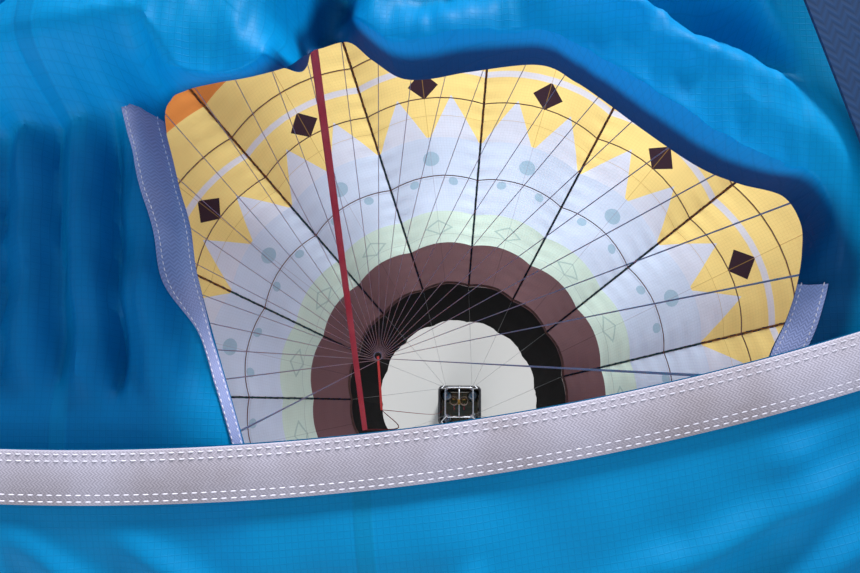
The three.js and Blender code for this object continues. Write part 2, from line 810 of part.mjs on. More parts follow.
// A long link standing across its lug, round the lug's upper edge
function linkGeometry(corner) {
  const turn = lugTurn(corner) + Math.PI / 2;
  const across = vec(Math.cos(turn), Math.sin(turn), 0);
  const lowInside = lugHoleCentre + lugHoleHalf - gap - link.bendRise;
  const tubeFlat = link.tube * Math.cos(Math.PI / link.sides);
  const centre = vec(corner.x * lugX, corner.y * lugY, lowInside - tubeFlat + link.halfHeight);
  const outline = roundedOutline(link.halfWidth, link.halfHeight, link.halfWidth, 3);
  const sections = outline.map(({ normal, point }) => (
    tubeSection(link.tube, link.sides).map(({ out, z }) => {
      const side = point.x + normal.x * out;
      const up = point.y + normal.y * out;
      const forward = vec(-across.y, across.x, 0).multiplyScalar(z);
      return centre.clone().addScaledVector(across, side).add(forward).add(vec(0, 0, up));
    })
  ));
  return { geometry: loft(sections), top: centre.clone().add(vec(0, 0, link.halfHeight)) };
}

for (const { corner, tapes } of wireSets) {
  const { geometry, top } = linkGeometry(corner);
  const onAxis = (rise) => top.clone().setZ(top.z + rise);
  const pieces = [geometry, rod(onAxis(wireCollar.low), onAxis(wireCollar.high), wireCollar.radius, 8)];
  for (const tape of tapes) {
    const head = envelopePoint(mouthTapeLow, tape * stepsPerGore, mouthTapeInner + 2 * gap + wireRadius);
    pieces.push(rod(onAxis(wireCollar.wireFoot), head, wireRadius, 6));
  }
  addPart(`flying_wires_${corner.number}`, union(pieces), 'steel');
}

export default part;
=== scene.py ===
import math
import bmesh
import bpy
import numpy as np
from mathutils import Matrix, Vector
from mathutils.bvhtree import BVHTree


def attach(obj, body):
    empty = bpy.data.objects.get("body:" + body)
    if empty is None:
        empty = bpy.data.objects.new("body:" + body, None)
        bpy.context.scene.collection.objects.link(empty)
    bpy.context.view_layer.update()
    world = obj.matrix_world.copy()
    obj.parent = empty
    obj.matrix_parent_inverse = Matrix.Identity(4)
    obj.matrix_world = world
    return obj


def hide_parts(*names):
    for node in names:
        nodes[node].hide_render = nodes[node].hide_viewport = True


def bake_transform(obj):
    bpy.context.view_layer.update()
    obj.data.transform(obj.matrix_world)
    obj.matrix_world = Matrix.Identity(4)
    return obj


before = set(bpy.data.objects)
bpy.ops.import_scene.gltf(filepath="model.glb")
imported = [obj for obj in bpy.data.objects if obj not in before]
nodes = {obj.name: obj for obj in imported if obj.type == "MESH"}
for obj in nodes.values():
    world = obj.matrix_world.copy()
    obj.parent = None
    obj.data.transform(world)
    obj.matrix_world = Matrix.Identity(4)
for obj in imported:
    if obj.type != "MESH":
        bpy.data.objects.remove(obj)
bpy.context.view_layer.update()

scene = bpy.context.scene
print("frame loaded:", len(nodes), "nodes")

# Camera, just above the crown vent's rim. The photograph's frame is 860 by 573 pixels.
cameraSettings = {
    "place": (0.326, -2.100, 6.902),
    "imageWidth": 860,
    "imageHeight": 573,
    "focalPixels": 780,
    "straightDownPixel": (471, 481),
    "sensorWidth": 36,
}


def makeCamera(settings):
    data = bpy.data.cameras.new("camera")
    data.sensor_width = settings["sensorWidth"]
    data.lens = settings["focalPixels"] / settings["imageWidth"] * settings["sensorWidth"]
    data.clip_start = 0.02
    data.clip_end = 500
    downX, downY = settings["straightDownPixel"]
    across = (downX - settings["imageWidth"] / 2) / settings["focalPixels"]
    below = (downY - settings["imageHeight"] / 2) / settings["focalPixels"]
    worldZ = -Vector((across, -below, -1)).normalized()
    worldY = (Vector((0, 1, 0)) - worldZ * worldZ.y).normalized()
    worldX = worldY.cross(worldZ)
    camera = bpy.data.objects.new("camera", data)
    scene.collection.objects.link(camera)
    camera.matrix_world = Matrix.Translation(settings["place"]) @ Matrix((worldX, worldY, worldZ)).to_4x4()
    scene.camera = camera


makeCamera(cameraSettings)

# Colours and node trees


def linearColour(hexColour):
    parts = [int(hexColour[i:i + 2], 16) / 255 for i in (1, 3, 5)]
    return [p / 12.92 if p <= 0.04045 else ((p + 0.055) / 1.055) ** 2.4 for p in parts] + [1.0]


# Adds a node with its settings. An input is a value, a hex colour, a socket, or a node that gives its result.
def addNode(tree, kind, inputs=(), **settings):
    node = tree.nodes.new(kind)
    for name, value in settings.items():
        setattr(node, name, value)
    for key, value in inputs.items() if isinstance(inputs, dict) else enumerate(inputs):
        if isinstance(value, bpy.types.Node):
            value = next(result for result in value.outputs if result.enabled)
        if isinstance(value, bpy.types.NodeSocket):
            tree.links.new(value, node.inputs[key])
        else:
            node.inputs[key].default_value = linearColour(value) if isinstance(value, str) else value
    return node


# Starts a material, and gives the socket that tells a point's place on the object, in metres
def newMaterial(name):
    material = bpy.data.materials.new(name)
    material.use_nodes = True
    tree = material.node_tree
    tree.nodes.clear()
    return material, tree, addNode(tree, "ShaderNodeTexCoord").outputs["Object"]


# A colour that a pattern darkens and lightens as it goes from start to end
def shaded(tree, colour, pattern, first, last, start=0.0, end=1.0, amount=1.0):
    tone = addNode(tree, "ShaderNodeMapRange", [pattern, start, end, first, last])
    return addNode(tree, "ShaderNodeMix", {0: amount, 6: colour, 7: tone}, data_type="RGBA",
                   blend_type="MULTIPLY")


# A colour that turns to another as a pattern goes from start to end
def worn(tree, colour, wornColour, pattern, start, end):
    share = addNode(tree, "ShaderNodeMapRange", [pattern, start, end])
    return addNode(tree, "ShaderNodeMix", {0: share, 6: colour, 7: wornColour}, data_type="RGBA")


# Ends a material. relief is a pattern, its strength and depth; through is the share that lets light through.
def finishMaterial(tree, colour, roughness, relief=None, through=None, reliefThrough=False, **more):
    surface = {"Base Color": colour, "Roughness": roughness, **more}
    glow = {"Color": colour}
    if relief:
        values = dict(zip(("Height", "Strength", "Distance"), relief))
        surface["Normal"] = addNode(tree, "ShaderNodeBump", values)
    if reliefThrough:
        glow["Normal"] = surface["Normal"]
    shader = addNode(tree, "ShaderNodeBsdfPrincipled", surface)
    if through is not None:
        shader = addNode(tree, "ShaderNodeMixShader", [
            through, shader, addNode(tree, "ShaderNodeBsdfTranslucent", glow),
        ])
    addNode(tree, "ShaderNodeOutputMaterial", [shader])


# Meshes


# Faces come in groups with the same number of sides; maps give one pair of numbers for each face corner.
def meshFrom(points, faceGroups, maps=None):
    mesh = bpy.data.meshes.new("part")
    groups = [np.asarray(group, np.int32) for group in faceGroups]
    corners = np.concatenate([group.ravel() for group in groups])
    sides = np.concatenate([np.full(len(group), group.shape[1], np.int32) for group in groups])
    mesh.vertices.add(len(points))
    mesh.vertices.foreach_set("co", np.asarray(points, np.float32).ravel())
    mesh.loops.add(len(corners))
    mesh.loops.foreach_set("vertex_index", corners)
    mesh.polygons.add(len(sides))
    mesh.polygons.foreach_set("loop_start", np.concatenate([[0], np.cumsum(sides)[:-1]]).astype(np.int32))
    mesh.polygons.foreach_set("use_smooth", np.full(len(sides), True))
    for mapName, values in (maps or {}).items():
        layer = mesh.uv_layers.new(name=mapName)
        layer.data.foreach_set("uv", np.asarray(values, np.float32).ravel())
    mesh.update(calc_edges=True)
    mesh.validate()
    mesh.set_sharp_from_angle(angle=math.radians(48))
    return mesh


# Faces of a grid whose columns go round, and in a loop its rows too, with the row and column of each corner
def gridFaces(rows, columns, loop=False):
    spans = rows if loop else rows - 1
    i, j = [a.ravel() for a in np.meshgrid(np.arange(spans), np.arange(columns), indexing="ij")]
    after, near, far = (j + 1) % columns, i * columns, (i + 1) * columns
    faces = np.stack([near + j, near + after, far + after, far + j], 1)
    return faces % (rows * columns), np.stack([i, i, i + 1, i + 1], 1), np.stack([j, j + 1, j + 1, j], 1)


# A shell through rings of points, with a cap at each end unless it is a loop; across and along are its map.
def shell(rings, loop=False, across=None, along=None):
    rings = np.asarray(rings, float)
    count, sides = rings.shape[:2]
    faces, row, column = gridFaces(count, sides, loop)
    cap = np.arange(sides)[None]
    caps = [] if loop else [cap[:, ::-1], cap + (count - 1) * sides]
    maps = {}
    if across is not None:
        flat = np.stack([across[column], along[row]], -1).reshape(-1, 2)
        maps["surface"] = np.vstack([flat, np.zeros((len(caps) * sides, 2))])
    return meshFrom(rings.reshape(-1, 3), [faces, *caps], maps)


def unit(vectors):
    return vectors / np.linalg.norm(vectors, axis=-1, keepdims=True)


def evenTurns(count):
    return np.arange(count) / count * 2 * math.pi


# Unit vectors level with the ground, at angles from +X
def outward(angle):
    return np.stack([np.cos(angle), np.sin(angle), 0 * angle], -1)


# Sections go round anticlockwise as seen from the path's far end.
def roundSection(radius, sides):
    return outward(evenTurns(sides))[:, :2] * radius


def flatSection(width, thickness, edge=0.0012):
    side, top = width / 2, thickness / 2
    quarter = np.array([(side, 0), (side - edge * 0.3, top * 0.7), (side - edge, top), (0, top)])
    return np.vstack([quarter, quarter[2::-1] * (-1, 1), quarter[1:] * (-1, -1), quarter[2:0:-1] * (1, -1)])


# Metres along a path from its start, and last the metres back to its start
def metresAlong(path):
    return np.concatenate([[0], np.cumsum(np.linalg.norm(np.diff(path, axis=0, append=path[:1]), axis=1))])


# A section swept along a path; up gives the direction of the section's second axis.
def sweep(path, section, up=(0, 0, 1), loop=False, scale=1.0):
    path, section = np.asarray(path, float), np.asarray(section, float)
    if loop:
        tangent = unit(np.roll(path, -1, 0) - np.roll(path, 1, 0))
    else:
        tangent = unit(np.gradient(path, axis=0))
    side = unit(np.cross(np.broadcast_to(np.asarray(up, float), path.shape), tangent))
    rise = np.cross(tangent, side)
    sized = section * np.broadcast_to(scale, len(path))[:, None, None]
    rings = path[:, None] + sized[..., :1] * side[:, None] + sized[..., 1:] * rise[:, None]
    return shell(rings, loop, metresAlong(section), metresAlong(path))


# Puts a piece on a body and hides the solids that it stands for. The slot is not used.
def dress(piece, slot, *replaced, body="airframe"):
    if body:
        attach(piece, body)
    if replaced:
        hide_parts(*replaced)
    return piece


def newObject(name, mesh, material):
    mesh.name = name
    mesh.materials.append(material)
    piece = bpy.data.objects.new(name, mesh)
    scene.collection.objects.link(piece)
    return piece


# A dressed piece from one mesh or several
def addPiece(name, mesh, material, slot, *replaced, body="airframe"):
    if isinstance(mesh, list):
        whole = bmesh.new()
        for part in mesh:
            whole.from_mesh(part)
            bpy.data.meshes.remove(part)
        mesh = bpy.data.meshes.new(name)
        whole.to_mesh(mesh)
        whole.free()
    return dress(newObject(name, mesh, material), slot, *replaced, body=body)


def smoothStep(x):
    x = np.clip(x, 0, 1)
    return x * x * (3 - 2 * x)


# Soft random relief from -1 to 1: a sum of waves of about the given length, the same on every run
def ripple(x, y, wavelength, seed, count=14):
    random = np.random.default_rng(seed)
    total = np.zeros(np.broadcast(x, y).shape)
    for _ in range(count):
        turn = random.uniform(0, 2 * math.pi)
        pace = 2 * math.pi / (wavelength * random.uniform(0.6, 1.7))
        shift = random.uniform(0, 2 * math.pi)
        total += np.sin(pace * (np.cos(turn) * x + np.sin(turn) * y) + shift)
    return total / math.sqrt(count) / 1.5


# A smooth curve through points of a table, whose first axes columns are its place
def throughPoints(table, spacing, axes=2):
    table = np.asarray(table, float)
    padded = np.vstack([2 * table[0] - table[1], table, 2 * table[-1] - table[-2]])
    found = []
    for k in range(1, len(padded) - 2):
        before, here, there, beyond = padded[k - 1:k + 3]
        count = max(1, round(float(np.linalg.norm((there - here)[:axes])) / spacing))
        t = (np.arange(count) / count)[:, None]
        square, cube = 2 * before - 5 * here + 4 * there - beyond, 3 * here - before - 3 * there + beyond
        found.append(0.5 * (2 * here + (there - before) * t + square * t ** 2 + cube * t ** 3))
    return np.vstack([*found, table[-1:]])


# The envelope's curve. Heights are above the ground under the runners, as in the part's source.
envelope = {
    "equatorHeight": 16.75,
    "equatorRadius": 8.5,
    "crownRise": 6.5,
    "lowerArcRadius": 10.5,
    "coneTopHeight": 10.29,
    "coneSlope": 0.781,
    "mouthHeight": 5.4,
    "mouthRadius": 2.45,
    "ventRadius": 2.08,
    "gores": 14,
    "firstTape": math.radians(-96.3),
    "lobeBulge": 0.028,
    "lobeFadeHeight": 21.3,
}
ground = -envelope["equatorHeight"]
goreTurn = 2 * math.pi / envelope["gores"]


def crownHeight(radius):
    return envelope["crownRise"] * np.sqrt(1 - (radius / envelope["equatorRadius"]) ** 2)


ventHeight = envelope["equatorHeight"] + float(crownHeight(envelope["ventRadius"]))


def tapeLineRadius(height):
    cone = envelope["mouthRadius"] + (height - envelope["mouthHeight"]) * envelope["coneSlope"]
    reach = envelope["lowerArcRadius"]
    drop = np.clip(envelope["equatorHeight"] - height, 0, reach)
    arc = envelope["equatorRadius"] - reach + np.sqrt(reach ** 2 - drop ** 2)
    return np.where(height <= envelope["coneTopHeight"], cone, arc)


# Steps of the meridian to the equator and on. It is measured by its length from the mouth, so that rows of
# cloth are evenly spaced.
meridianSteps = 1200


def measureMeridian():
    lower = np.linspace(envelope["mouthHeight"], envelope["equatorHeight"], meridianSteps)
    lastTurn = math.acos(envelope["ventRadius"] / envelope["equatorRadius"])
    turns = np.linspace(0, lastTurn, meridianSteps)[1:]
    heights = np.concatenate([lower, envelope["equatorHeight"] + envelope["crownRise"] * np.sin(turns)])
    radii = np.concatenate([tapeLineRadius(lower), envelope["equatorRadius"] * np.cos(turns)])
    lengths = np.concatenate([[0], np.cumsum(np.hypot(np.diff(heights), np.diff(radii)))])
    return lengths, radii, heights


meridianLength, meridianRadius, meridianHeight = measureMeridian()


def meridianAt(length):
    return tuple(np.interp(length, meridianLength, values) for values in (meridianRadius, meridianHeight))


def lengthAtHeight(height):
    return float(np.interp(height, meridianHeight, meridianLength))


def lengthAtRadius(radius):
    return np.interp(-np.asarray(radius), -meridianRadius[meridianSteps:], meridianLength[meridianSteps:])


def lobeFactor(phase, bulge):
    half = goreTurn / 2
    top = 1 + np.maximum(bulge, 1e-5)
    centre = (top ** 2 - 1) / (2 * (top - math.cos(half)))
    angle = (phase * 2 - 1) * half
    return centre * np.cos(angle) + np.sqrt((top - centre) ** 2 - (centre * np.sin(angle)) ** 2)


# Points of the envelope: length along the meridian, gores from the first tape, and lift off the cloth
def envelopePoints(length, gore, lift=0.0):
    length, gore, lift = np.broadcast_arrays(length, gore, lift)
    radius, height = meridianAt(length)
    reach = 0.02
    run, rise = np.subtract(meridianAt(length + reach), meridianAt(length - reach))
    size = np.hypot(rise, run)
    fade = np.clip((ventHeight - height) / (ventHeight - envelope["lobeFadeHeight"]), 0, 1)
    out = radius * lobeFactor(gore % 1.0, envelope["lobeBulge"] * fade) + lift * rise / size
    up = height - envelope["equatorHeight"] - lift * run / size
    angle = envelope["firstTape"] + gore * goreTurn
    return np.stack([out * np.cos(angle), out * np.sin(angle), up], -1)


# Materials of the cloth


# Where a point is on its gore: metres from the middle, along the meridian, from the nearest tape, and height
def clothCoordinates(tree, place):
    at = {"object": place}
    maps = {"cloth": ("across", "along"), "gore": ("gore", "height"), "edge": ("edge", "hem")}
    for mapName, names in maps.items():
        parts = addNode(tree, "ShaderNodeSeparateXYZ", [addNode(tree, "ShaderNodeUVMap", uv_map=mapName)])
        at.update(zip(names, parts.outputs))
    return at


# 1 where the value lies within half a width of a line, with a soft edge
def lineMask(tree, value, line, halfWidth):
    off = addNode(tree, "ShaderNodeMath", [value, line], operation="SUBTRACT")
    size = addNode(tree, "ShaderNodeMath", [off], operation="ABSOLUTE")
    return addNode(tree, "ShaderNodeMapRange", [size, halfWidth * 1.15, halfWidth * 0.85],
                   interpolation_type="SMOOTHSTEP")


# Lines that come again at the given spacing
def linesMask(tree, value, spacing, halfWidth):
    wave = addNode(tree, "ShaderNodeMath", [value, spacing / 2], operation="PINGPONG")
    return lineMask(tree, wave, 0.0, halfWidth)


# A place on the gore by its distance from the middle, the same on both sides
def mirroredPlace(tree, at):
    size = addNode(tree, "ShaderNodeMath", [at["across"]], operation="ABSOLUTE")
    return addNode(tree, "ShaderNodeCombineXYZ", [size, at["along"]])


def dotMask(tree, at, side, height, radius):
    centre = (side, lengthAtHeight(height), 0)
    distance = addNode(tree, "ShaderNodeVectorMath", [mirroredPlace(tree, at), centre], operation="DISTANCE")
    return addNode(tree, "ShaderNodeMath", [distance, radius], operation="LESS_THAN")


# Diamonds, or triangles where the lower half is cut off
def diamondMask(tree, at, side, height, halfWidth, halfHeight, onlyAbove=False):
    centre = (side, lengthAtHeight(height), 0)
    off = addNode(tree, "ShaderNodeVectorMath", [mirroredPlace(tree, at), centre], operation="SUBTRACT")
    size = addNode(tree, "ShaderNodeVectorMath", [off], operation="ABSOLUTE")
    reach = (1 / halfWidth, 1 / halfHeight, 0)
    total = addNode(tree, "ShaderNodeVectorMath", [size, reach], operation="DOT_PRODUCT")
    inside = addNode(tree, "ShaderNodeMath", [total, 1.0], operation="LESS_THAN")
    if onlyAbove:
        above = addNode(tree, "ShaderNodeMath", [at["along"], centre[1]], operation="GREATER_THAN")
        inside = addNode(tree, "ShaderNodeMath", [inside, above], operation="MULTIPLY")
    return inside


# Marks on a gore: metres from its middle, height above the ground, then half width and half height, or radius.
# The stripe has its height and half width. The last three tell where a painted shade begins and where it is
# full.
clothMarks = {
    "bigDot": (0.0, 8.05, 0.17),
    "smallDot": (0.42, 7.62, 0.1),
    "diamondOutside": (0.0, 6.68, 0.32, 0.2),
    "diamondInside": (0.0, 6.68, 0.25, 0.155),
    "pennant": (0.54, 8.44, 0.5, 0.95, True),
    "darkDiamond": (0.0, 9.35, 0.3, 0.3),
    "stripe": (9.62, 0.05),
    "yellowUpTo": 10.62,
    "puffShadowX": (0.16, 0.06),
    "puffShadowY": (-1.80, -1.86),
    "hemShadeEdge": (0.066, 0.038),
}


def lavenderDots(tree, at):
    dots = [dotMask(tree, at, *clothMarks[name]) for name in ("bigDot", "smallDot")]
    return addNode(tree, "ShaderNodeMath", dots, operation="MAXIMUM")


def mintDiamonds(tree, at):
    diamonds = [diamondMask(tree, at, *clothMarks[name]) for name in ("diamondOutside", "diamondInside")]
    return addNode(tree, "ShaderNodeMath", diamonds, operation="SUBTRACT")


def yellowPennants(tree, at):
    return diamondMask(tree, at, *clothMarks["pennant"])


def yellowDiamonds(tree, at):
    return diamondMask(tree, at, *clothMarks["darkDiamond"])


def yellowStripe(tree, at):
    return lineMask(tree, at["height"], *clothMarks["stripe"])


def orangeFoot(tree, at):
    return addNode(tree, "ShaderNodeMath", [at["height"], clothMarks["yellowUpTo"]], operation="LESS_THAN")


# Painted shadow: the cloth beside the gap, below the puffed fold, is drawn a deeper blue where the fold's
# shadow falls.
def puffShadow(tree, at):
    spot = addNode(tree, "ShaderNodeSeparateXYZ", [at["object"]]).outputs
    shares = [addNode(tree, "ShaderNodeMapRange", [spot[axis], *clothMarks[name]],
                      interpolation_type="SMOOTHSTEP") for axis, name in enumerate(("puffShadowX", "puffShadowY"))]
    return addNode(tree, "ShaderNodeMath", shares, operation="MULTIPLY")


# Painted shade along the drawn-in hem, where the cloth turns down and under, darkest at the edge
def hemShade(tree, at):
    return addNode(tree, "ShaderNodeMapRange", [at["height"], *clothMarks["hemShadeEdge"]],
                   interpolation_type="SMOOTHSTEP")


# Coated ripstop nylon, woven and then coated inside: a fine square grid of thicker yarns, a soft satin, and
# enough light through it that the sun side glows from within. Near cloth has its true 5 mm grid; far cloth's
# grid is drawn at 60 mm so that it shows at all.
clothSeams = {"halfWidth": 0.007, "tapeHalfWidth": 0.018, "panelHeight": 1.45}
nearCloth = {
    "grid": 0.005, "lineShare": 0.14, "clouds": 6.0, "crumples": 40.0, "depth": 0.002, "specular": 0.12,
}
farCloth = {"grid": 0.06, "lineShare": 0.1, "clouds": 0.7, "crumples": 5.0, "depth": 0.02, "specular": 0.25}


def clothMaterial(name, colour, seamColour, tapeShadowColour, marks=(), detail=farCloth, letsThrough=0.5,
                  roughness=0.5):
    material, tree, place = newMaterial(name)
    at = clothCoordinates(tree, place)
    shown = colour
    for makeMask, markColour in marks:
        mask = makeMask(tree, at)
        shown = addNode(tree, "ShaderNodeMix", {0: mask, 6: shown, 7: markColour}, data_type="RGBA")
    yarns = [linesMask(tree, at[way], detail["grid"], detail["grid"] * detail["lineShare"] / 2)
             for way in ("across", "along")]
    grid = addNode(tree, "ShaderNodeMath", yarns, operation="MAXIMUM")
    shown = shaded(tree, shown, grid, 1.0, 0.86, amount=0.5)
    # Coating and handling leave broad, faint cloudiness.
    clouds = addNode(tree, "ShaderNodeTexNoise", {"Vector": place, "Scale": detail["clouds"], "Detail": 3.0})
    shown = shaded(tree, shown, clouds, 0.9, 1.06, start=0.3, end=0.7)
    # Seams: one down the middle of each gore and one between the panels of a gore
    middleSeam = lineMask(tree, at["across"], 0.0, clothSeams["halfWidth"])
    panelSeam = linesMask(tree, at["along"], clothSeams["panelHeight"], clothSeams["halfWidth"])
    seam = addNode(tree, "ShaderNodeMath", [middleSeam, panelSeam], operation="MAXIMUM")
    seamShare = addNode(tree, "ShaderNodeMath", [seam, 0.45], operation="MULTIPLY")
    shown = addNode(tree, "ShaderNodeMix", {0: seamShare, 6: shown, 7: seamColour}, data_type="RGBA")
    # The cloth is doubled where a load tape is sewn to it, so less light comes through, and the tape's shadow
    # seen through the cloth is painted on as a darker colour.
    tape = lineMask(tree, at["edge"], 0.0, clothSeams["tapeHalfWidth"])
    shown = addNode(tree, "ShaderNodeMix", {0: tape, 6: shown, 7: tapeShadowColour}, data_type="RGBA")
    crumple = addNode(tree, "ShaderNodeTexNoise", {
        "Vector": place, "Scale": detail["crumples"], "Detail": 5.0,
    })
    height = addNode(tree, "ShaderNodeMath", [grid, 0.2, crumple], operation="MULTIPLY_ADD")
    height = addNode(tree, "ShaderNodeMath", [seam, 0.6, height], operation="MULTIPLY_ADD")
    through = addNode(tree, "ShaderNodeMapRange", [tape, 0.0, 1.0, letsThrough, letsThrough * 0.3])
    finishMaterial(tree, shown, roughness, (height, 0.35, detail["depth"]), through, True,
                   **{"Specular IOR Level": detail["specular"]})
    return material


# Painted colours of the load tapes' shadows, as they show through each cloth from inside
tapeShadows = {"dark": "#101514", "green": "#3f6a63", "brown": "#a07a3e", "blue": "#06304e"}
clothMaterials = {
    "heat": clothMaterial("heatResistantCloth", "#84686c", "#4a3c3e", tapeShadows["dark"],
                          letsThrough=0.25, roughness=0.85),
    "mint": clothMaterial("coatedNylonMint", "#d4ebe0", "#9db0b0", tapeShadows["green"],
                          [(mintDiamonds, "#b4d0ca")]),
    "lavender": clothMaterial("coatedNylonLavender", "#d3e4fc", "#a9a6ba", tapeShadows["green"],
                              [(lavenderDots, "#aacae1")]),
    "yellow": clothMaterial("coatedNylonYellow", "#ffe694", "#c09c52", tapeShadows["brown"], [
        (yellowPennants, "#dde6f8"), (yellowDiamonds, "#3a2b35"), (yellowStripe, "#e3e6f0"),
    ]),
    "orange": clothMaterial("coatedNylonOrange", "#f09a50", "#a86a34", tapeShadows["brown"],
                            [(orangeFoot, "#ffe694")]),
    "red": clothMaterial("coatedNylonRed", "#c4504a", "#8a3532", tapeShadows["dark"]),
    "blue": clothMaterial("coatedNylonBlue", "#0086bc", "#00709c", tapeShadows["blue"], letsThrough=0.36),
    "skirt": clothMaterial("heatResistantClothBlack", "#08090d", "#1c1d22", "#050608",
                           letsThrough=0.02, roughness=0.8),
    "hem": clothMaterial("heatResistantClothHem", "#1a1b1f", "#2a2b30", "#1a1b1f", letsThrough=0.0,
                         roughness=0.8),
    # The panel's two marks are painted: the shadow below the puffed fold, and shade along the turned-under
    # hem.
    "ventPanel": clothMaterial("coatedNylonBluePanel", "#009cdc", "#007cb8", tapeShadows["blue"],
                               [(puffShadow, "#0070b2"), (hemShade, "#00497c")], nearCloth, letsThrough=0.55),
    "blueNear": clothMaterial("coatedNylonBlueNear", "#007eb4", "#007199", tapeShadows["blue"],
                              detail=nearCloth, letsThrough=0.36),
}

# Bands of cloth, seamed to each other: name, heights above the ground, and cloth
bands = [
    ("band_1_heat", 5.4, 6.35, "heat"),
    ("band_2_mint", 6.35, 7.02, "mint"),
    ("band_3_lavender", 7.02, 8.44, "lavender"),
    ("band_4_yellow", 8.44, 9.99, "yellow"),
    ("band_5_orange", 9.99, 13.0, "orange"),
    ("band_6_red", 13.0, 18.2, "red"),
]
clothGrid = {
    "rowSpacing": 0.085,
    "inset": 0.004,
    "puckerDepth": 0.012,
    "puckerReach": 0.3,
    "puckerLength": 0.34,
    "billow": 0.012,
}

# Columns of each gore, closer together beside its tapes, where the cloth puckers
gorePhases = np.array([0, 0.012, 0.035, 0.07, 0.12, 0.19, 0.28, 0.39,
                       0.5, 0.61, 0.72, 0.81, 0.88, 0.93, 0.965, 0.988])
goreColumns = (np.arange(envelope["gores"])[:, None] + gorePhases).ravel()
allGores = np.append(goreColumns, envelope["gores"])


# The tapes are a little shorter than the cloth beside them, so it puckers along them.
def clothRelief(length, gore):
    phase = gore % 1.0
    edge = np.minimum(phase, 1 - phase) * meridianAt(length)[0] * goreTurn
    gather = np.exp(-edge / clothGrid["puckerReach"]) * smoothStep(edge / 0.03)
    turn = 2 * math.pi * length / clothGrid["puckerLength"]
    wave = np.sin(turn + 5 * np.sin(np.round(gore) * 2.1) + 0.9 * np.sin(length))
    billow = ripple(gore * 3.1, length, 1.6, 5) * smoothStep(edge / 0.5)
    return clothGrid["puckerDepth"] * gather * wave + clothGrid["billow"] * billow


# Maps by face corner, so that each gore's cloth starts anew at its tape
def envelopeCorners(length, left, right, start):
    maps = {"cloth": [], "gore": [], "edge": []}
    for rowShift, gore in ((0, left), (0, right), (1, right), (1, left)):
        rows = slice(rowShift, len(length) - 1 + rowShift)
        radius, height = meridianAt(length[rows])
        phase = gore[rows] - start[rows]
        width = radius * goreTurn
        maps["cloth"].append(np.stack([(phase - 0.5) * width, length[rows]], -1))
        maps["gore"].append(np.stack([gore[rows], height], -1))
        maps["edge"].append(np.stack([(0.5 - np.abs(phase - 0.5)) * width, length[rows]], -1))
    return {name: np.stack(values, 2).reshape(-1, 4, 2) for name, values in maps.items()}


# A band between two lengths along the meridian; where another grid follows it, its relief fades out.
def bandMesh(start, end, fades=False):
    lengths = np.linspace(start, end, max(2, round((end - start) / clothGrid["rowSpacing"])) + 1)
    length, gore = np.meshgrid(lengths, goreColumns, indexing="ij")
    relief = clothRelief(length, gore) * (smoothStep((end - length) / 0.5) if fades else 1)
    points = envelopePoints(length, gore, relief - clothGrid["inset"])
    maps = envelopeCorners(length, gore, np.broadcast_to(allGores[1:], gore.shape), np.floor(gore + 1e-9))
    return meshFrom(points.reshape(-1, 3), [gridFaces(*gore.shape)[0]], maps)


for bandName, low, high, cloth in bands:
    mesh = bandMesh(lengthAtHeight(low), lengthAtHeight(high))
    addPiece(bandName + "_cloth", mesh, clothMaterials[cloth], cloth + "_cloth", bandName)
print("bands made")

# Crown cloth. The lower piece is like the bands; the upper ring round the vent has fine columns and rows
# near the drawn-in place, where the gathers show.
crown = {
    "low": 18.2,
    "splitRadius": 3.1,
    "rimRadius": 2.08,
    "fineRadius": 2.36,
    "fineStep": 0.005,
    "coarseStep": 0.03,
    "gapAngle": math.radians(-81.5),
    "fineHalfAngle": math.radians(13),
    "fineColumn": 0.0036,
    "coarseColumn": 0.03,
    "rimInset": 0.0008,
}


def crowdedAngles(settings):
    half = settings["fineHalfAngle"]
    fine, coarse = (settings[name] / settings["rimRadius"] for name in ("fineColumn", "coarseColumn"))
    inner = np.linspace(-half, half, round(2 * half / fine) + 1)
    outer = np.linspace(half, 2 * math.pi - half, round((2 * math.pi - 2 * half) / coarse) + 1)[1:-1]
    return settings["gapAngle"] + np.concatenate([inner, outer])


def goreOf(angle):
    return ((angle - envelope["firstTape"]) / goreTurn) % envelope["gores"]


# Wrinkles of the cloth round the vent: start and end of each ridge in metres, its height and half width
rimRidges = [
    ((0.470, -2.165), (0.640, -2.075), 0.012, 0.014),
    ((0.520, -2.200), (0.650, -2.120), 0.010, 0.012),
    ((0.400, -2.190), (0.470, -2.150), 0.007, 0.012),
    ((0.285, -2.215), (0.330, -2.165), 0.008, 0.011),
    ((0.150, -2.200), (0.060, -2.145), 0.008, 0.012),
    ((0.060, -2.210), (-0.030, -2.140), 0.009, 0.012),
    ((0.560, -2.080), (0.640, -2.035), 0.008, 0.010),
]


def ridgeRelief(x, y, ridges):
    total = np.zeros(np.broadcast(x, y).shape)
    for start, end, height, halfWidth in ridges:
        alongX, alongY = end[0] - start[0], end[1] - start[1]
        size = math.hypot(alongX, alongY)
        share = ((x - start[0]) * alongX + (y - start[1]) * alongY) / size ** 2
        off = ((x - start[0]) * alongY - (y - start[1]) * alongX) / size
        ends = smoothStep((share + 0.25) / 0.4) * smoothStep((1.25 - share) / 0.4)
        total += height * np.exp(-(off / halfWidth) ** 2) * ends
    return total


def crownRelief(radius, angle):
    phase = goreOf(angle) % 1.0
    edge = np.minimum(phase, 1 - phase) * radius * goreTurn
    pinned = smoothStep((edge - 0.025) / 0.16)
    faded = smoothStep((radius - 2.125) / 0.05) * smoothStep((3.05 - radius) / 0.7)
    around = angle * 2.1
    pleats = 0.005 * ripple(around, radius * 0.25, 0.09, 11) + 0.006 * ripple(around, radius * 0.4, 0.26, 12)
    folds = ridgeRelief(radius * np.cos(angle), radius * np.sin(angle), rimRidges)
    rim = 0.0022 * ripple(around, 0 * around, 0.5, 13) + 0.001
    return pinned * (rim + faded * (pleats + folds + 0.004))


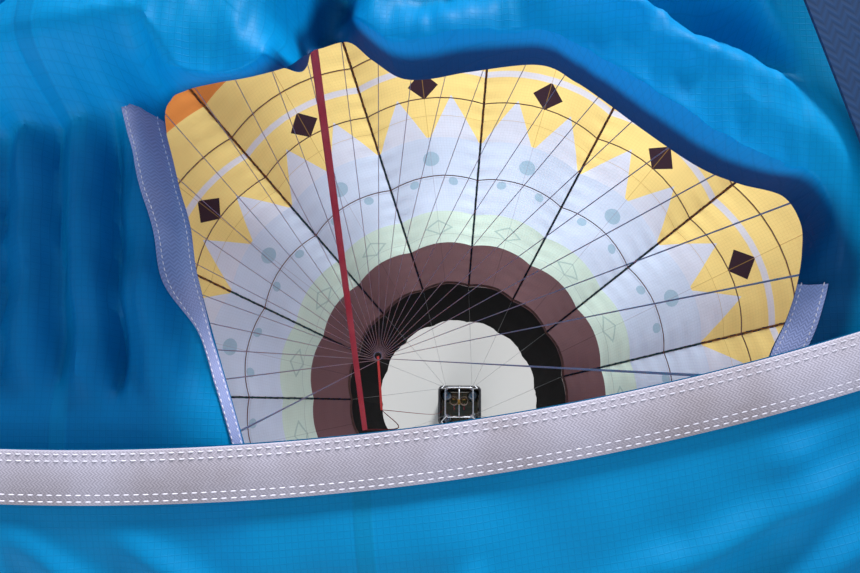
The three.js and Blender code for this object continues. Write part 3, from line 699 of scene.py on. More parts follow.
def makeCrown(settings):
    split, fine, rim = settings["splitRadius"], settings["fineRadius"], settings["rimRadius"]
    mesh = bandMesh(lengthAtHeight(settings["low"]), float(lengthAtRadius(split)), fades=True)
    addPiece("crown_cloth", mesh, clothMaterials["blue"], "blue_cloth", "band_7_crown")
    radii = np.concatenate([
        np.linspace(split, fine, round((split - fine) / settings["coarseStep"]) + 1),
        np.linspace(fine, rim, round((fine - rim) / settings["fineStep"]) + 1)[1:],
    ])
    radius, angle = np.meshgrid(radii, crowdedAngles(settings), indexing="ij")
    length, gore = lengthAtRadius(radius), goreOf(angle)
    blend = smoothStep((split - radius) / 0.3)
    lift = (crownRelief(radius, angle) - settings["rimInset"]) * blend - clothGrid["inset"] * (1 - blend)
    points = envelopePoints(length, gore, lift)
    after = np.roll(gore, -1, 1)
    right = np.where(after < gore - 1, after + envelope["gores"], after)
    maps = envelopeCorners(length, gore, right, np.floor((gore + right) / 2))
    mesh = meshFrom(points.reshape(-1, 3), [gridFaces(*gore.shape)[0]], maps)
    addPiece("vent_surround", mesh, clothMaterials["blueNear"], "blue_cloth", "band_7_crown")


makeCrown(crown)
print("crown cloth made")

# Vent panel: a dome of cloth under the crown's edge, drawn in at one place. Its edge there is a list of
# points, left to right: x, y, how far the edge hangs below the dome, and the height, reach and overhang of the
# fold behind it.
ventPanel = {
    "radius": 2.33,
    "drop": 0.012,
    "hemStep": 0.0036,
    "rimStep": 0.045,
    "outColumns": 15,
    "nearRows": 87,
    "farRows": 30,
    "rollWidth": 0.055,
}
hemPoints = [
    (0.1560, -2.1100, -0.006, 0.000, 0.100, 0.000),
    (0.1531, -2.0938, -0.010, 0.000, 0.100, 0.000),
    (0.1467, -2.0745, -0.012, 0.002, 0.050, 0.000),
    (0.1350, -2.0395, -0.014, 0.004, 0.050, 0.000),
    (0.1164, -1.9839, -0.018, 0.006, 0.050, 0.000),
    (0.1014, -1.9354, -0.020, 0.008, 0.050, 0.000),
    (0.0868, -1.8866, -0.022, 0.010, 0.050, 0.000),
    (0.0730, -1.8337, -0.028, 0.014, 0.040, 0.000),
    (0.0688, -1.8058, -0.030, 0.016, 0.030, 0.000),
    (0.0785, -1.7977, -0.015, 0.010, 0.016, 0.004),
    (0.1013, -1.8043, 0.015, 0.004, 0.010, 0.010),
    (0.1307, -1.8075, 0.032, 0.002, 0.010, 0.012),
    (0.1599, -1.8056, 0.038, 0.002, 0.010, 0.012),
    (0.1838, -1.7921, 0.026, 0.004, 0.012, 0.010),
    (0.1934, -1.7683, 0.000, 0.006, 0.016, 0.006),
    (0.1961, -1.7460, -0.035, 0.008, 0.020, 0.002),
    (0.2176, -1.7262, -0.060, 0.010, 0.016, 0.006),
    (0.2390, -1.7415, -0.060, 0.020, 0.012, 0.014),
    (0.2638, -1.7576, -0.060, 0.028, 0.010, 0.018),
    (0.2901, -1.7586, -0.060, 0.030, 0.010, 0.020),
    (0.3251, -1.7523, -0.060, 0.030, 0.010, 0.020),
    (0.3863, -1.7460, -0.060, 0.032, 0.008, 0.026),
    (0.4173, -1.7584, -0.065, 0.036, 0.008, 0.028),
    (0.4390, -1.7725, -0.065, 0.038, 0.008, 0.028),
    (0.4833, -1.8026, -0.070, 0.038, 0.008, 0.026),
    (0.5264, -1.8313, -0.070, 0.036, 0.008, 0.024),
    (0.5576, -1.8486, -0.060, 0.032, 0.008, 0.020),
    (0.5895, -1.8620, -0.050, 0.026, 0.010, 0.014),
    (0.5999, -1.8870, -0.040, 0.018, 0.014, 0.008),
    (0.5967, -1.9130, -0.030, 0.010, 0.020, 0.002),
    (0.5877, -1.9438, -0.020, 0.004, 0.040, 0.000),
    (0.5773, -1.9716, -0.018, 0.002, 0.050, 0.000),
    (0.5628, -1.9977, -0.014, 0.000, 0.060, 0.000),
    (0.5532, -2.0238, -0.010, 0.000, 0.080, 0.000),
    (0.5480, -2.0450, -0.007, 0.000, 0.100, 0.000),
]
# Folds behind the drawn-in edge: start and end of each ridge, its height (below 0 for a valley), half width
panelRidges = [
    ((-0.090, -1.776), (-0.012, -1.700), -0.060, 0.020),
    ((0.184, -1.775), (0.232, -1.660), -0.050, 0.024),
    ((0.270, -1.735), (0.420, -1.700), -0.018, 0.020),
    ((0.340, -1.700), (0.470, -1.745), 0.020, 0.018),
    ((0.438, -1.722), (0.545, -1.737), -0.042, 0.016),
    ((0.530, -1.733), (0.645, -1.800), -0.042, 0.015),
    ((0.530, -1.690), (0.660, -1.768), 0.034, 0.022),
    ((0.480, -1.772), (0.575, -1.800), 0.010, 0.014),
]
# Pleats beside the opening: place of each at its top and its foot, height and half width
panelPleats = [
    (0.036, 0.047, -0.018, 0.008),
    (0.062, 0.082, 0.011, 0.012),
    (0.014, 0.022, 0.009, 0.012),
    (-0.010, -0.003, -0.013, 0.009),
    (-0.033, -0.027, 0.010, 0.012),
    (-0.058, -0.054, -0.010, 0.010),
    (0.082, 0.112, -0.006, 0.009),
]
# The puffed fold beside the opening: its lower edge as x, y, its height and the width of its rounded edge
panelPuff = {
    "edge": [(-0.200, -1.790), (-0.120, -1.815), (-0.070, -1.827), (-0.023, -1.826),
             (0.009, -1.822), (0.040, -1.814), (0.070, -1.800), (0.085, -1.808),
             (0.100, -1.835), (0.125, -1.870), (0.220, -1.880)],
    "height": 0.068,
    "rounding": 0.045,
    "fall": 0.34,
    "left": -0.14,
    "right": 0.196,
}
# Where the panel's columns turn in towards its middle: the shoulders' angles in degrees and their radii
panelShoulders = {
    "hemTops": [(0.072, -1.805), (0.598, -1.887)],
    "beyond": 24,
    "angles": [-98.0, -93.5, -80.8, -67.5, -64.0, -62.5, None, None, 260.5, 262.0],
    "radii": [1.93, 1.66, 1.46, 1.70, 1.92, 2.02, 2.05, 2.05, 2.02, 1.93],
}


def domeHeight(x, y):
    return crownHeight(np.minimum(np.hypot(x, y), envelope["equatorRadius"])) - ventPanel["drop"]


def panelColumns():
    hem = throughPoints(hemPoints, ventPanel["hemStep"])
    radius = ventPanel["radius"]
    left, right = (math.atan2(hem[end, 1], hem[end, 0]) for end in (0, -1))
    # From the right end of the hem out to the panel's edge, round it, and back in to the left end
    out = np.linspace(0, 1, ventPanel["outColumns"] + 1)[1:, None]
    rightOut = hem[-1, :2] * (1 + (radius / np.hypot(*hem[-1, :2]) - 1) * out)
    leftIn = hem[0, :2] * (1 + (radius / np.hypot(*hem[0, :2]) - 1) * out[::-1])
    turn = 2 * math.pi - (right - left)
    angles = right + np.linspace(0, turn, round(turn * radius / ventPanel["rimStep"]) + 1)[1:-1]
    plan = np.vstack([hem[:, :2], rightOut, radius * outward(angles)[:, :2], leftIn])
    extras = np.zeros((len(plan), 4))
    extras[:, 2] = 0.1
    extras[:len(hem)] = hem[:, 2:]
    extras[len(hem):len(hem) + len(out), 0] = hem[-1, 2] * (1 - out[:, 0])
    extras[-len(out):, 0] = hem[0, 2] * (1 - out[::-1, 0])
    return plan, extras, len(hem)


# Angle and radius of each column's shoulder, from those of a few columns
def shoulderPlaces(plan, hemCount, settings):
    angle = np.unwrap(np.arctan2(plan[:, 1], plan[:, 0]))
    topLeft, topRight = (int(np.argmin(np.hypot(*(plan[:hemCount] - top).T))) for top in settings["hemTops"])
    rightEdge, leftEdge = hemCount + ventPanel["outColumns"], len(plan) - 1 - ventPanel["outColumns"]
    farRight, farLeft = rightEdge + settings["beyond"], leftEdge - settings["beyond"]
    middle = (topLeft + topRight) // 2
    knots = [0, topLeft, middle, topRight, hemCount, rightEdge, farRight, farLeft, leftEdge, len(plan)]
    angles = [angle[knot] if turn is None else math.radians(turn)
              for knot, turn in zip(knots, settings["angles"])]
    index = np.arange(len(plan))
    return np.interp(index, knots, angles), np.interp(index, knots, settings["radii"])


def smoothRing(values, width):
    kernel = np.hanning(2 * width + 1)
    padded = np.concatenate([values[-width:], values, values[:width]])
    return np.convolve(padded, kernel / kernel.sum(), "valid")


def panelSurface(plan, extras, hemCount):
    shoulderAngle, shoulderRadius = shoulderPlaces(plan, hemCount, panelShoulders)
    base = evenTurns(len(plan))
    shoulderAngle = smoothRing(shoulderAngle - base, 20) + base
    shoulderRadius = smoothRing(shoulderRadius, 20)
    shoulder = shoulderRadius[:, None] * outward(shoulderAngle)[:, :2]
    tangent = np.roll(plan, -2, 0) - np.roll(plan, 2, 0)
    inward = unit(np.stack([-tangent[:, 1], tangent[:, 0]], -1))
    inward = unit(np.stack([smoothRing(inward[:, axis], 5) for axis in (0, 1)], -1))
    span = np.linalg.norm(shoulder - plan, axis=1)
    share = (np.linspace(0, 1, ventPanel["nearRows"]) ** 1.6)[:, None]
    leave = inward * span[:, None] * 0.9
    arrive = -shoulder / shoulderRadius[:, None] * span[:, None] * 0.9
    h = share[:, :, None]
    plane = ((2 * h ** 3 - 3 * h ** 2 + 1) * plan + (h ** 3 - 2 * h ** 2 + h) * leave
             + (3 * h ** 2 - 2 * h ** 3) * shoulder + (h ** 3 - h ** 2) * arrive)
    hang, rise, reach, overhang = [smoothRing(extras[:, k], 6) for k in range(4)]
    hang = hang - panelRelief(plan[:, 0], plan[:, 1])
    crest = np.clip(reach / span, 0.02, 0.6)
    climb = np.sin(np.clip(share / crest, 0, 1) * math.pi / 2)
    settle = np.exp(-(np.maximum(share - crest, 0) * span / ventPanel["rollWidth"]) ** 2)
    lip = np.where(share < crest, hang + (rise - hang) * climb, rise * settle)
    bulge = np.sin(np.clip(share / (2.2 * crest), 0, 1) * math.pi)
    plane = plane - inward * (overhang * bulge)[:, :, None]
    far = np.linspace(0, 1, ventPanel["farRows"] + 1)[1:-1, None, None]
    rest = shoulder * (1 - far)
    return np.concatenate([plane, rest]), np.concatenate([lip, np.zeros(rest.shape[:2])])


def puffRelief(x, y, settings):
    edge = np.array(settings["edge"])
    inside = y - np.interp(x, edge[:, 0], edge[:, 1])
    roundEdge = np.sin(np.clip(inside / settings["rounding"], 0, 1) * math.pi / 2)
    fall = smoothStep(1 - (inside - settings["rounding"]) / settings["fall"])
    sides = smoothStep((x - settings["left"]) / 0.06) * smoothStep((settings["right"] - x) / 0.022)
    return settings["height"] * roundEdge * np.where(inside < settings["rounding"], 1, fall) * sides


def pleatRelief(x, y, pleats):
    share = np.clip((y + 1.83) / -0.25, 0, 1)
    total = np.zeros(x.shape)
    for top, foot, height, halfWidth in pleats:
        total += height * np.exp(-((x - top - (foot - top) * share) / halfWidth) ** 2)
    return total * smoothStep((-1.79 - y) / 0.05) * smoothStep((y + 2.075) / 0.07)


# Angles in degrees: the middle of the drawn-in place and the two load tapes beside it
def panelRelief(x, y):
    radius, angle = np.hypot(x, y), np.arctan2(y, x)
    away, tapeLeft, tapeRight = (np.abs((angle - math.radians(middle) + math.pi) % (2 * math.pi) - math.pi)
                                 for middle in (-82.0, -96.3, -70.59))
    clear = smoothStep((np.minimum(tapeLeft, tapeRight) * radius - 0.03) / 0.03)
    local = smoothStep((math.radians(16) - away) / math.radians(5)) * clear
    underCrown = smoothStep((2.065 - radius) / 0.05)
    inner = smoothStep((radius - 1.2) / 0.4)
    folds = ridgeRelief(x, y, panelRidges) + puffRelief(x, y, panelPuff) + pleatRelief(x, y, panelPleats)
    fine = 0.0045 * ripple(x, y, 0.09, 21) + 0.0014 * ripple(x * 2.2, y * 0.5, 0.03, 22)
    broad = 0.006 * ripple(x, y, 0.7, 23) * smoothStep((2.0 - radius) / 0.3) - 0.006
    return underCrown * (local * inner * (folds + fine) + broad)


def ventPanelGrid():
    plan, extras, hemCount = panelColumns()
    plane, lip = panelSurface(plan, extras, hemCount)
    x, y = plane[..., 0], plane[..., 1]
    return np.stack([x, y, domeHeight(x, y) + lip + panelRelief(x, y)], -1), hemCount


def makeVentPanel(grid, hemCount):
    rows, columns = grid.shape[:2]
    top = np.array([[0, 0, float(domeHeight(0.0, 0.0)) - 0.006]])
    points = np.vstack([grid.reshape(-1, 3), top])
    faces, row, column = gridFaces(rows, columns)
    last = (rows - 1) * columns + np.arange(columns)
    middle = np.stack([last, np.roll(last, -1), np.full(columns, len(points) - 1)], 1)
    # The painted shade along the hem follows the metres in from the drawn-in edge; elsewhere they are out of
    # its reach.
    steps = np.linalg.norm(np.diff(grid, axis=0), axis=-1)
    fromHem = np.concatenate([np.zeros((1, columns)), np.cumsum(steps, 0)])
    fromHem = np.where(np.arange(columns) < hemCount, fromHem, 9.0)
    flat = np.concatenate([grid[row, column % columns, :2].reshape(-1, 2), points[middle.ravel(), :2]])
    hem = np.concatenate([fromHem[row, column % columns].ravel(), np.full(middle.size, 9.0)])
    maps = {
        "cloth": flat,
        "gore": np.stack([0 * hem, hem + 0.05 * smoothStep((0.21 - flat[:, 0]) / 0.05)], -1),
        "edge": np.stack([np.full(len(hem), 9.0), hem], -1),
    }
    mesh = meshFrom(points, [faces, middle], maps)
    return addPiece("vent_panel", mesh, clothMaterials["ventPanel"], "blue_cloth", "parachute_vent",
                    body="parachute")


ventGrid, hemCount = ventPanelGrid()
ventPiece = makeVentPanel(ventGrid, hemCount)
print("vent panel made", ventGrid.shape)

# Webbing, tapes and stitching


# Nylon webbing, woven: ribs run across the tape in a fine zigzag, and handling has changed its tone in places.
# The ribs are 1.6 mm in the real one and are drawn at 3 mm, so that they show.
def webbingMaterial(name, colour, wornColour, ribSpacing=0.003, roughness=0.62, letsThrough=None):
    material, tree, place = newMaterial(name)
    at = addNode(tree, "ShaderNodeUVMap", uv_map="surface")
    parts = addNode(tree, "ShaderNodeSeparateXYZ", [at]).outputs
    rows = addNode(tree, "ShaderNodeMath", [parts[1], ribSpacing], operation="DIVIDE")
    ends = addNode(tree, "ShaderNodeMath", [parts[0], ribSpacing * 0.8], operation="DIVIDE")
    shift = addNode(tree, "ShaderNodeMath", [ends, 1.0], operation="PINGPONG")
    ribs = addNode(tree, "ShaderNodeMath", [rows, shift], operation="ADD")
    wave = addNode(tree, "ShaderNodeMath", [ribs, 0.5], operation="PINGPONG")
    wear = addNode(tree, "ShaderNodeTexNoise", {"Vector": place, "Scale": 9.0, "Detail": 6.0})
    shown = shaded(tree, worn(tree, colour, wornColour, wear, 0.35, 0.68), wave, 0.72, 1.05, end=0.5)
    finishMaterial(tree, shown, roughness, (wave, 0.5, 0.0006), letsThrough, **{"Specular IOR Level": 0.3})
    return material


webbings = {
    "rim": webbingMaterial("nylonWebbingGrey", "#aaa6b6", "#8b8288"),
    "edging": webbingMaterial("nylonTapeLavender", "#868cb4", "#6c84b6"),
    "mouth": webbingMaterial("nylonWebbingBrown", "#6d5650", "#544240"),
    "girth": webbingMaterial("nylonTapePinkBrown", "#8f7470", "#7c6462"),
    "red": webbingMaterial("nylonWebbingRed", "#ffb8bd", "#f8a4ac", letsThrough=0.97),
    "silver": webbingMaterial("nylonWebbingSilver", "#cfd1d6", "#a9abb2"),
    "black": webbingMaterial("nylonWebbingBlack", "#17181b", "#26272b"),
    "loadTape": webbingMaterial("nylonWebbingLoad", "#0a2c52", "#0f3a66", ribSpacing=0.008, roughness=0.85),
}


# Bonded sewing thread, twisted, with a soft sheen
def threadMaterial(name, colour):
    material, tree, place = newMaterial(name)
    twist = addNode(tree, "ShaderNodeTexNoise", {"Vector": place, "Scale": 900.0, "Detail": 2.0})
    finishMaterial(tree, shaded(tree, colour, twist, 0.75, 1.15), 0.45)
    return material


threads = {"pale": threadMaterial("threadPale", "#c9c6d2"), "dark": threadMaterial("threadDark", "#3a3c44")}


# A geometry tree with its named inputs: kind of socket and first value
def newTree(name, inputs):
    tree = bpy.data.node_groups.new(name, "GeometryNodeTree")
    for socketName, (kind, value) in inputs.items():
        socket = tree.interface.new_socket(socketName, in_out="INPUT", socket_type="NodeSocket" + kind)
        if value is not None:
            socket.default_value = value
    tree.interface.new_socket("Result", in_out="OUTPUT", socket_type="NodeSocketGeometry")
    return tree, addNode(tree, "NodeGroupInput").outputs


# The end of a geometry tree: real meshes in one material
def finishTree(tree, shape, material):
    real = addNode(tree, "GeometryNodeRealizeInstances", [shape])
    coloured = addNode(tree, "GeometryNodeSetMaterial", {"Geometry": real, "Material": material})
    addNode(tree, "NodeGroupOutput", [coloured])


# Stitches along a path: spacing, length and radius are the tree's inputs.
def makeStitchTree():
    tree, given = newTree("stitches", {
        "Path": ("Geometry", None), "Spacing": ("Float", 0.006), "Stitch length": ("Float", 0.004),
        "Thread radius": ("Float", 0.0005), "Thread": ("Material", None),
    })
    points = addNode(tree, "GeometryNodeCurveToPoints", {"Curve": given["Path"], "Length": given["Spacing"]},
                     mode="LENGTH")
    turn = addNode(tree, "FunctionNodeAlignRotationToVector", {"Vector": points.outputs["Tangent"]}, axis="Z")
    stitch = addNode(tree, "GeometryNodeMeshUVSphere", {"Segments": 4, "Rings": 3, "Radius": 0.5})
    wide = addNode(tree, "ShaderNodeMath", [given["Thread radius"], 2.0], operation="MULTIPLY")
    size = addNode(tree, "ShaderNodeCombineXYZ", [wide, wide, given["Stitch length"]])
    placed = addNode(tree, "GeometryNodeInstanceOnPoints", {
        "Points": points, "Instance": stitch, "Rotation": turn, "Scale": size,
    })
    finishTree(tree, placed, given["Thread"])
    return tree


stitchTree = makeStitchTree()


# Runs a tree on paths, and keeps the result as a plain mesh
def runTree(name, paths, closed, tree, values):
    curve = bpy.data.curves.new(name, "CURVE")
    curve.dimensions = "3D"
    for path in paths:
        spline = curve.splines.new("POLY")
        spline.points.add(len(path) - 1)
        spline.points.foreach_set("co", np.hstack([path, np.ones((len(path), 1))]).astype(np.float32).ravel())
        spline.use_cyclic_u = closed
    holder = bpy.data.objects.new(name, curve)
    scene.collection.objects.link(holder)
    modifier = holder.modifiers.new("tree", "NODES")
    modifier.node_group = tree
    for item in tree.interface.items_tree:
        if item.in_out == "INPUT" and item.name in values:
            modifier[item.identifier] = values[item.name]
    mesh = bpy.data.meshes.new_from_object(holder.evaluated_get(bpy.context.evaluated_depsgraph_get()))
    mesh.name = name
    bpy.data.objects.remove(holder)
    piece = bpy.data.objects.new(name, mesh)
    scene.collection.objects.link(piece)
    return piece


def addStitches(name, paths, thread, slot, spacing, length, radius=0.0006, closed=True, body="airframe"):
    piece = runTree(name, paths, closed, stitchTree, {
        "Spacing": spacing, "Stitch length": length, "Thread radius": radius, "Thread": threads[thread],
    })
    dress(piece, slot, body=body)


rimWebbing = {
    "radius": 2.101,
    "width": 0.042,
    "thickness": 0.003,
    "lift": 0.00245,
    "columns": 900,
    "start": math.radians(-84),
    "stitchRows": (-1, -0.72, 0.72, 1),
    "stitchInset": 0.0035,
}


# The dome's upward direction at points of it
def domeNormal(points):
    radius = np.hypot(points[:, 0], points[:, 1])
    slope = envelope["crownRise"] * radius / envelope["equatorRadius"] ** 2
    slope /= np.sqrt(1 - (radius / envelope["equatorRadius"]) ** 2)
    return unit(np.hstack([points[:, :2] / radius[:, None] * slope[:, None], np.ones((len(points), 1))]))


def rimPath(settings, out, lift):
    angles = settings["start"] + evenTurns(settings["columns"])
    relief = crownRelief(settings["radius"], angles)
    return envelopePoints(lengthAtRadius(settings["radius"] + out), goreOf(angles), lift + relief)


def makeRimWebbing(settings):
    path = rimPath(settings, 0, settings["lift"])
    mesh = sweep(path, flatSection(settings["width"], settings["thickness"]), domeNormal(path), loop=True)
    addPiece("rim_webbing", mesh, webbings["rim"], "grey_webbing", "vent_rim_tape")
    reach = settings["width"] / 2 - settings["stitchInset"]
    lift = settings["lift"] + settings["thickness"] / 2
    rows = [rimPath(settings, side * reach, lift) for side in settings["stitchRows"]]
    addStitches("rim_stitches", rows, "pale", "grey_webbing", 0.0075, 0.0052)


makeRimWebbing(rimWebbing)

# The binding tape on the sides of the vent panel's drawn-in edge: its size, where it narrows (y of the
# narrow and the full width), where the left one leaves the edge and goes under the fold, and the ends of the
# right one
bindingTape = {
    "width": 0.0225,
    "narrowShare": 0.34,
    "narrowBelow": (-1.995, -1.945),
    "thickness": 0.0014,
    "lift": 0.0010,
    "inset": 0.001,
    "stitchInset": 0.003,
    "left": ((0.1560, -2.1100), (0.0830, -1.8800)),
    "leftTop": [(0.074, -1.872), (0.0665, -1.846), (0.06, -1.825), (0.057, -1.812), (0.055, -1.79)],
    "tuckedAbove": -1.8120,
    "dropFrom": 6.345,
    "right": ((0.5880, -1.9440), (0.5480, -2.0450)),
}


# Points of the panel at a distance in from its edge, and lifted off it
def onPanel(columns, insets, lift):
    steps = np.diff(ventGrid[:, columns], axis=0, prepend=ventGrid[:1, columns])
    lengths = np.cumsum(np.linalg.norm(steps, axis=-1), 0)
    alongHem = ventGrid[:, (columns + 1) % ventGrid.shape[1]] - ventGrid[:, columns - 1]
    normals = unit(np.cross(alongHem, np.gradient(ventGrid[:, columns], axis=0)))
    lifted = ventGrid[:, columns] + normals * lift
    return np.array([[np.interp(insets[k], lengths[:, k], lifted[:, k, axis]) for axis in range(3)]
                     for k in range(len(columns))])


def hemColumns(first, last):
    hem = ventGrid[0, :hemCount, :2]
    ends = [int(np.argmin(np.hypot(*(hem - point).T))) for point in (first, last)]
    return np.arange(max(ends[0], 1), ends[1] + 1)


def tapeShare(settings, y):
    low, high = settings["narrowBelow"]
    return settings["narrowShare"] + (1 - settings["narrowShare"]) * smoothStep((y - low) / (high - low))


# The left tape follows the hem and then runs on under the fold; each point of it is dropped onto the panel.
def leftTapeRings(settings, section):
    columns = hemColumns(*settings["left"])
    share = tapeShare(settings, ventGrid[0, columns, 1])
    centre = onPanel(columns, settings["inset"] + settings["width"] * share / 2, 0.0)[:, :2]
    path = throughPoints(np.vstack([centre[::12], settings["leftTop"]]), ventPanel["hemStep"])
    way = unit(np.gradient(path, axis=0))
    side = np.stack([way[:, 1], -way[:, 0]], -1)
    share = tapeShare(settings, path[:, 1])
    panel = BVHTree.FromObject(ventPiece, bpy.context.evaluated_depsgraph_get())
    rings = []
    for across, rise in section:
        plan = path - side * (across * share)[:, None]
        hits = [panel.ray_cast(Vector((x, y, settings["dropFrom"])), Vector((0, 0, -1)))[0] for x, y in plan]
        known = [k for k, hit in enumerate(hits) if hit]
        heights = np.interp(np.arange(len(hits)), known, [hits[k].z for k in known])
        tucked = plan[:, 1] > settings["tuckedAbove"]
        heights[tucked] = heights[~tucked][-1]
        rings.append(np.column_stack([plan, heights + settings["lift"] + settings["thickness"] / 2 + rise]))
    return np.stack(rings, 1)


def makeBindingTape(settings):
    # Nine points across its face, so that it follows the pleats
    face = np.linspace(settings["width"] / 2, -settings["width"] / 2, 9)
    half = settings["thickness"] / 2 * np.array([0.3, 1, 1, 1, 1, 1, 1, 1, 0.3])
    section = np.vstack([np.column_stack([face, half]), np.column_stack([-face, -half])])
    reach = settings["width"] / 2 - settings["stitchInset"]
    seams = [(-reach, settings["thickness"] / 2), (reach, settings["thickness"] / 2)]
    columns = hemColumns(*settings["right"])
    inset = settings["inset"] + settings["width"] / 2
    lift = settings["lift"] + settings["thickness"] / 2
    right = [np.stack([onPanel(columns, np.full(len(columns), inset + s), lift + u) for s, u in part], 1)
             for part in (section, seams)]
    left = [leftTapeRings(settings, part) for part in (section, seams)]
    across = np.append(section[:, 0], section[0, 0])
    meshes = [shell(rings, False, across, np.arange(len(rings)) * ventPanel["hemStep"])
              for rings, _ in (left, right)]
    rows = [row for _, stitched in (left, right) for row in (stitched[:, 0], stitched[:, 1])]
    binding = addPiece("panel_binding", meshes, webbings["edging"], "grey_webbing", body="parachute")
    addStitches("binding_stitches", rows, "pale", "grey_webbing", 0.005, 0.0035, 0.0005, False, "parachute")
    return binding


makeBindingTape(bindingTape)
print("webbing at the vent made")

girthTapes = {"heights": (7.73, 9.14, 9.99), "width": 0.024, "thickness": 0.002, "lift": -0.018}


def makeGirthTapes(settings):
    meshes = []
    section = flatSection(settings["width"], settings["thickness"])
    for height in settings["heights"]:
        length = lengthAtHeight(height)
        relief = clothRelief(np.full(len(goreColumns), length), goreColumns)
        path = envelopePoints(length, goreColumns, settings["lift"] + relief)
        inner = envelopePoints(length, goreColumns, settings["lift"] - 0.05 + relief)
        meshes.append(sweep(path, section, unit(path - inner), loop=True))
    addPiece("girth_tapes", meshes, webbings["girth"], "brown_webbing")


makeGirthTapes(girthTapes)

# Skirt: black heat-resistant cloth, lightly gathered at its lower edge, where a cord runs through the hem. It
# is cut a little larger than it hangs.
skirt = {
    "bottom": 3.6,
    "top": 5.41,
    "bottomRadius": 1.95,
    "topRadius": 2.45,
    "rows": 44,
    "gather": 0.011,
    "fall": 0.006,
    "hemRadius": 0.011,
    "hemShare": 0.006,
    "cutWidth": 1.05,
    "cutHeight": 1.02,
}


def skirtPoints(share, gore, lift=0.0):
    radius = skirt["bottomRadius"] + (skirt["topRadius"] - skirt["bottomRadius"]) * share
    height = skirt["bottom"] + (skirt["top"] - skirt["bottom"]) * share
    phase = gore % 1.0
    free = smoothStep(np.minimum(phase, 1 - phase) / 0.12)
    folds = skirt["gather"] * (1 - share) ** 1.5 * ripple(gore, share * 0.6, 0.21, 31) * free
    fall = skirt["fall"] * ripple(gore, share * 1.8, 0.6, 32) * free * smoothStep((1 - share) / 0.1)
    sewn = clothRelief(0.0, gore) * smoothStep((share - 0.9) / 0.1)
    lobes = lobeFactor(phase, np.full(np.shape(phase), envelope["lobeBulge"]))
    out = radius * lobes - clothGrid["inset"] + folds + fall + sewn + lift
    angle = envelope["firstTape"] + gore * goreTurn
    return np.stack([out * np.cos(angle), out * np.sin(angle), height + ground + 0 * out], -1)


def makeSkirt(settings):
    shares = np.linspace(0, 1, settings["rows"])
    points = skirtPoints(*np.meshgrid(shares, goreColumns, indexing="ij"))
    faces, row, column = gridFaces(len(shares), len(goreColumns))
    phase = allGores[column] - np.floor(goreColumns + 1e-9)[column[:, :1]]
    flare = settings["topRadius"] - settings["bottomRadius"]
    slant = math.hypot(settings["top"] - settings["bottom"], flare)
    width = (settings["bottomRadius"] + flare * shares[row]) * goreTurn
    maps = {
        "cloth": np.stack([(phase - 0.5) * width, shares[row] * slant], -1).reshape(-1, 2),
        "gore": np.stack([allGores[column], shares[row]], -1).reshape(-1, 2),
        "edge": np.stack([(0.5 - np.abs(phase - 0.5)) * width, shares[row]], -1).reshape(-1, 2),
    }
    mesh = meshFrom(points.reshape(-1, 3), [faces], maps)
    piece = addPiece("skirt_cloth", mesh, clothMaterials["skirt"], "skirt_cloth", "skirt")
    path = skirtPoints(np.full(len(goreColumns), settings["hemShare"]), goreColumns, 0.001)
    hem = sweep(path, roundSection(settings["hemRadius"], 8), loop=True)
    hemPiece = addPiece("skirt_hem", hem, clothMaterials["hem"], "skirt_cloth")


makeSkirt(skirt)
print("skirt made")


# Metals: brushed or turned parts show fine lines along the work, drawn a little coarser than real.
def metalMaterial(name, colour, roughness, lineScale=220.0, lineShare=0.18):
    material, tree, place = newMaterial(name)
    stretched = addNode(tree, "ShaderNodeMapping", {"Vector": place, "Scale": (1.0, 1.0, 0.06)})
    lines = addNode(tree, "ShaderNodeTexNoise", {"Vector": stretched, "Scale": lineScale, "Detail": 3.0})
    smudge = addNode(tree, "ShaderNodeTexNoise", {"Vector": place, "Scale": 11.0, "Detail": 5.0})
    rough = addNode(tree, "ShaderNodeMath", [lines, lineShare, roughness], operation="MULTIPLY_ADD")
    rough = addNode(tree, "ShaderNodeMath", [smudge, 0.12, rough], operation="MULTIPLY_ADD")
    finishMaterial(tree, shaded(tree, colour, smudge, 0.82, 1.12), rough, (lines, 0.25, 0.0003), Metallic=1.0)
    return material


metals = {
    "polished": metalMaterial("stainlessSteelPolished", "#c9ccd0", 0.16, lineShare=0.08),
    "frame": metalMaterial("stainlessSteelBrushed", "#b9bcc1", 0.26),
    "aluminium": metalMaterial("aluminiumSatin", "#c4c7cb", 0.34),
    "brass": metalMaterial("brassMachined", "#b08a45", 0.28),
    "burner": metalMaterial("burnerSteelHeated", "#8b7a6c", 0.36),
    "cylinder": metalMaterial("aluminiumBrushedTank", "#b4b7bb", 0.3, lineScale=120.0),
}


# Braided polyester cord: fine diagonal braid, which is 2 mm and drawn at 6 mm
def cordMaterial(name, colour, dark):
    material, tree, place = newMaterial(name)
    braid = addNode(tree, "ShaderNodeTexWave", {"Vector": place, "Scale": 160.0, "Distortion": 2.0},
                    wave_type="BANDS", bands_direction="DIAGONAL").outputs["Fac"]
    shown = addNode(tree, "ShaderNodeMix", {0: braid, 6: dark, 7: colour}, data_type="RGBA")
    finishMaterial(tree, shown, 0.7, (braid, 0.4, 0.0005), 0.5)
    return material


cords = {
    "pale": cordMaterial("braidedCordGrey", "#f2f2f4", "#c6c6cc"),
    "red": cordMaterial("braidedCordRed", "#b8323c", "#7c2028"),
}

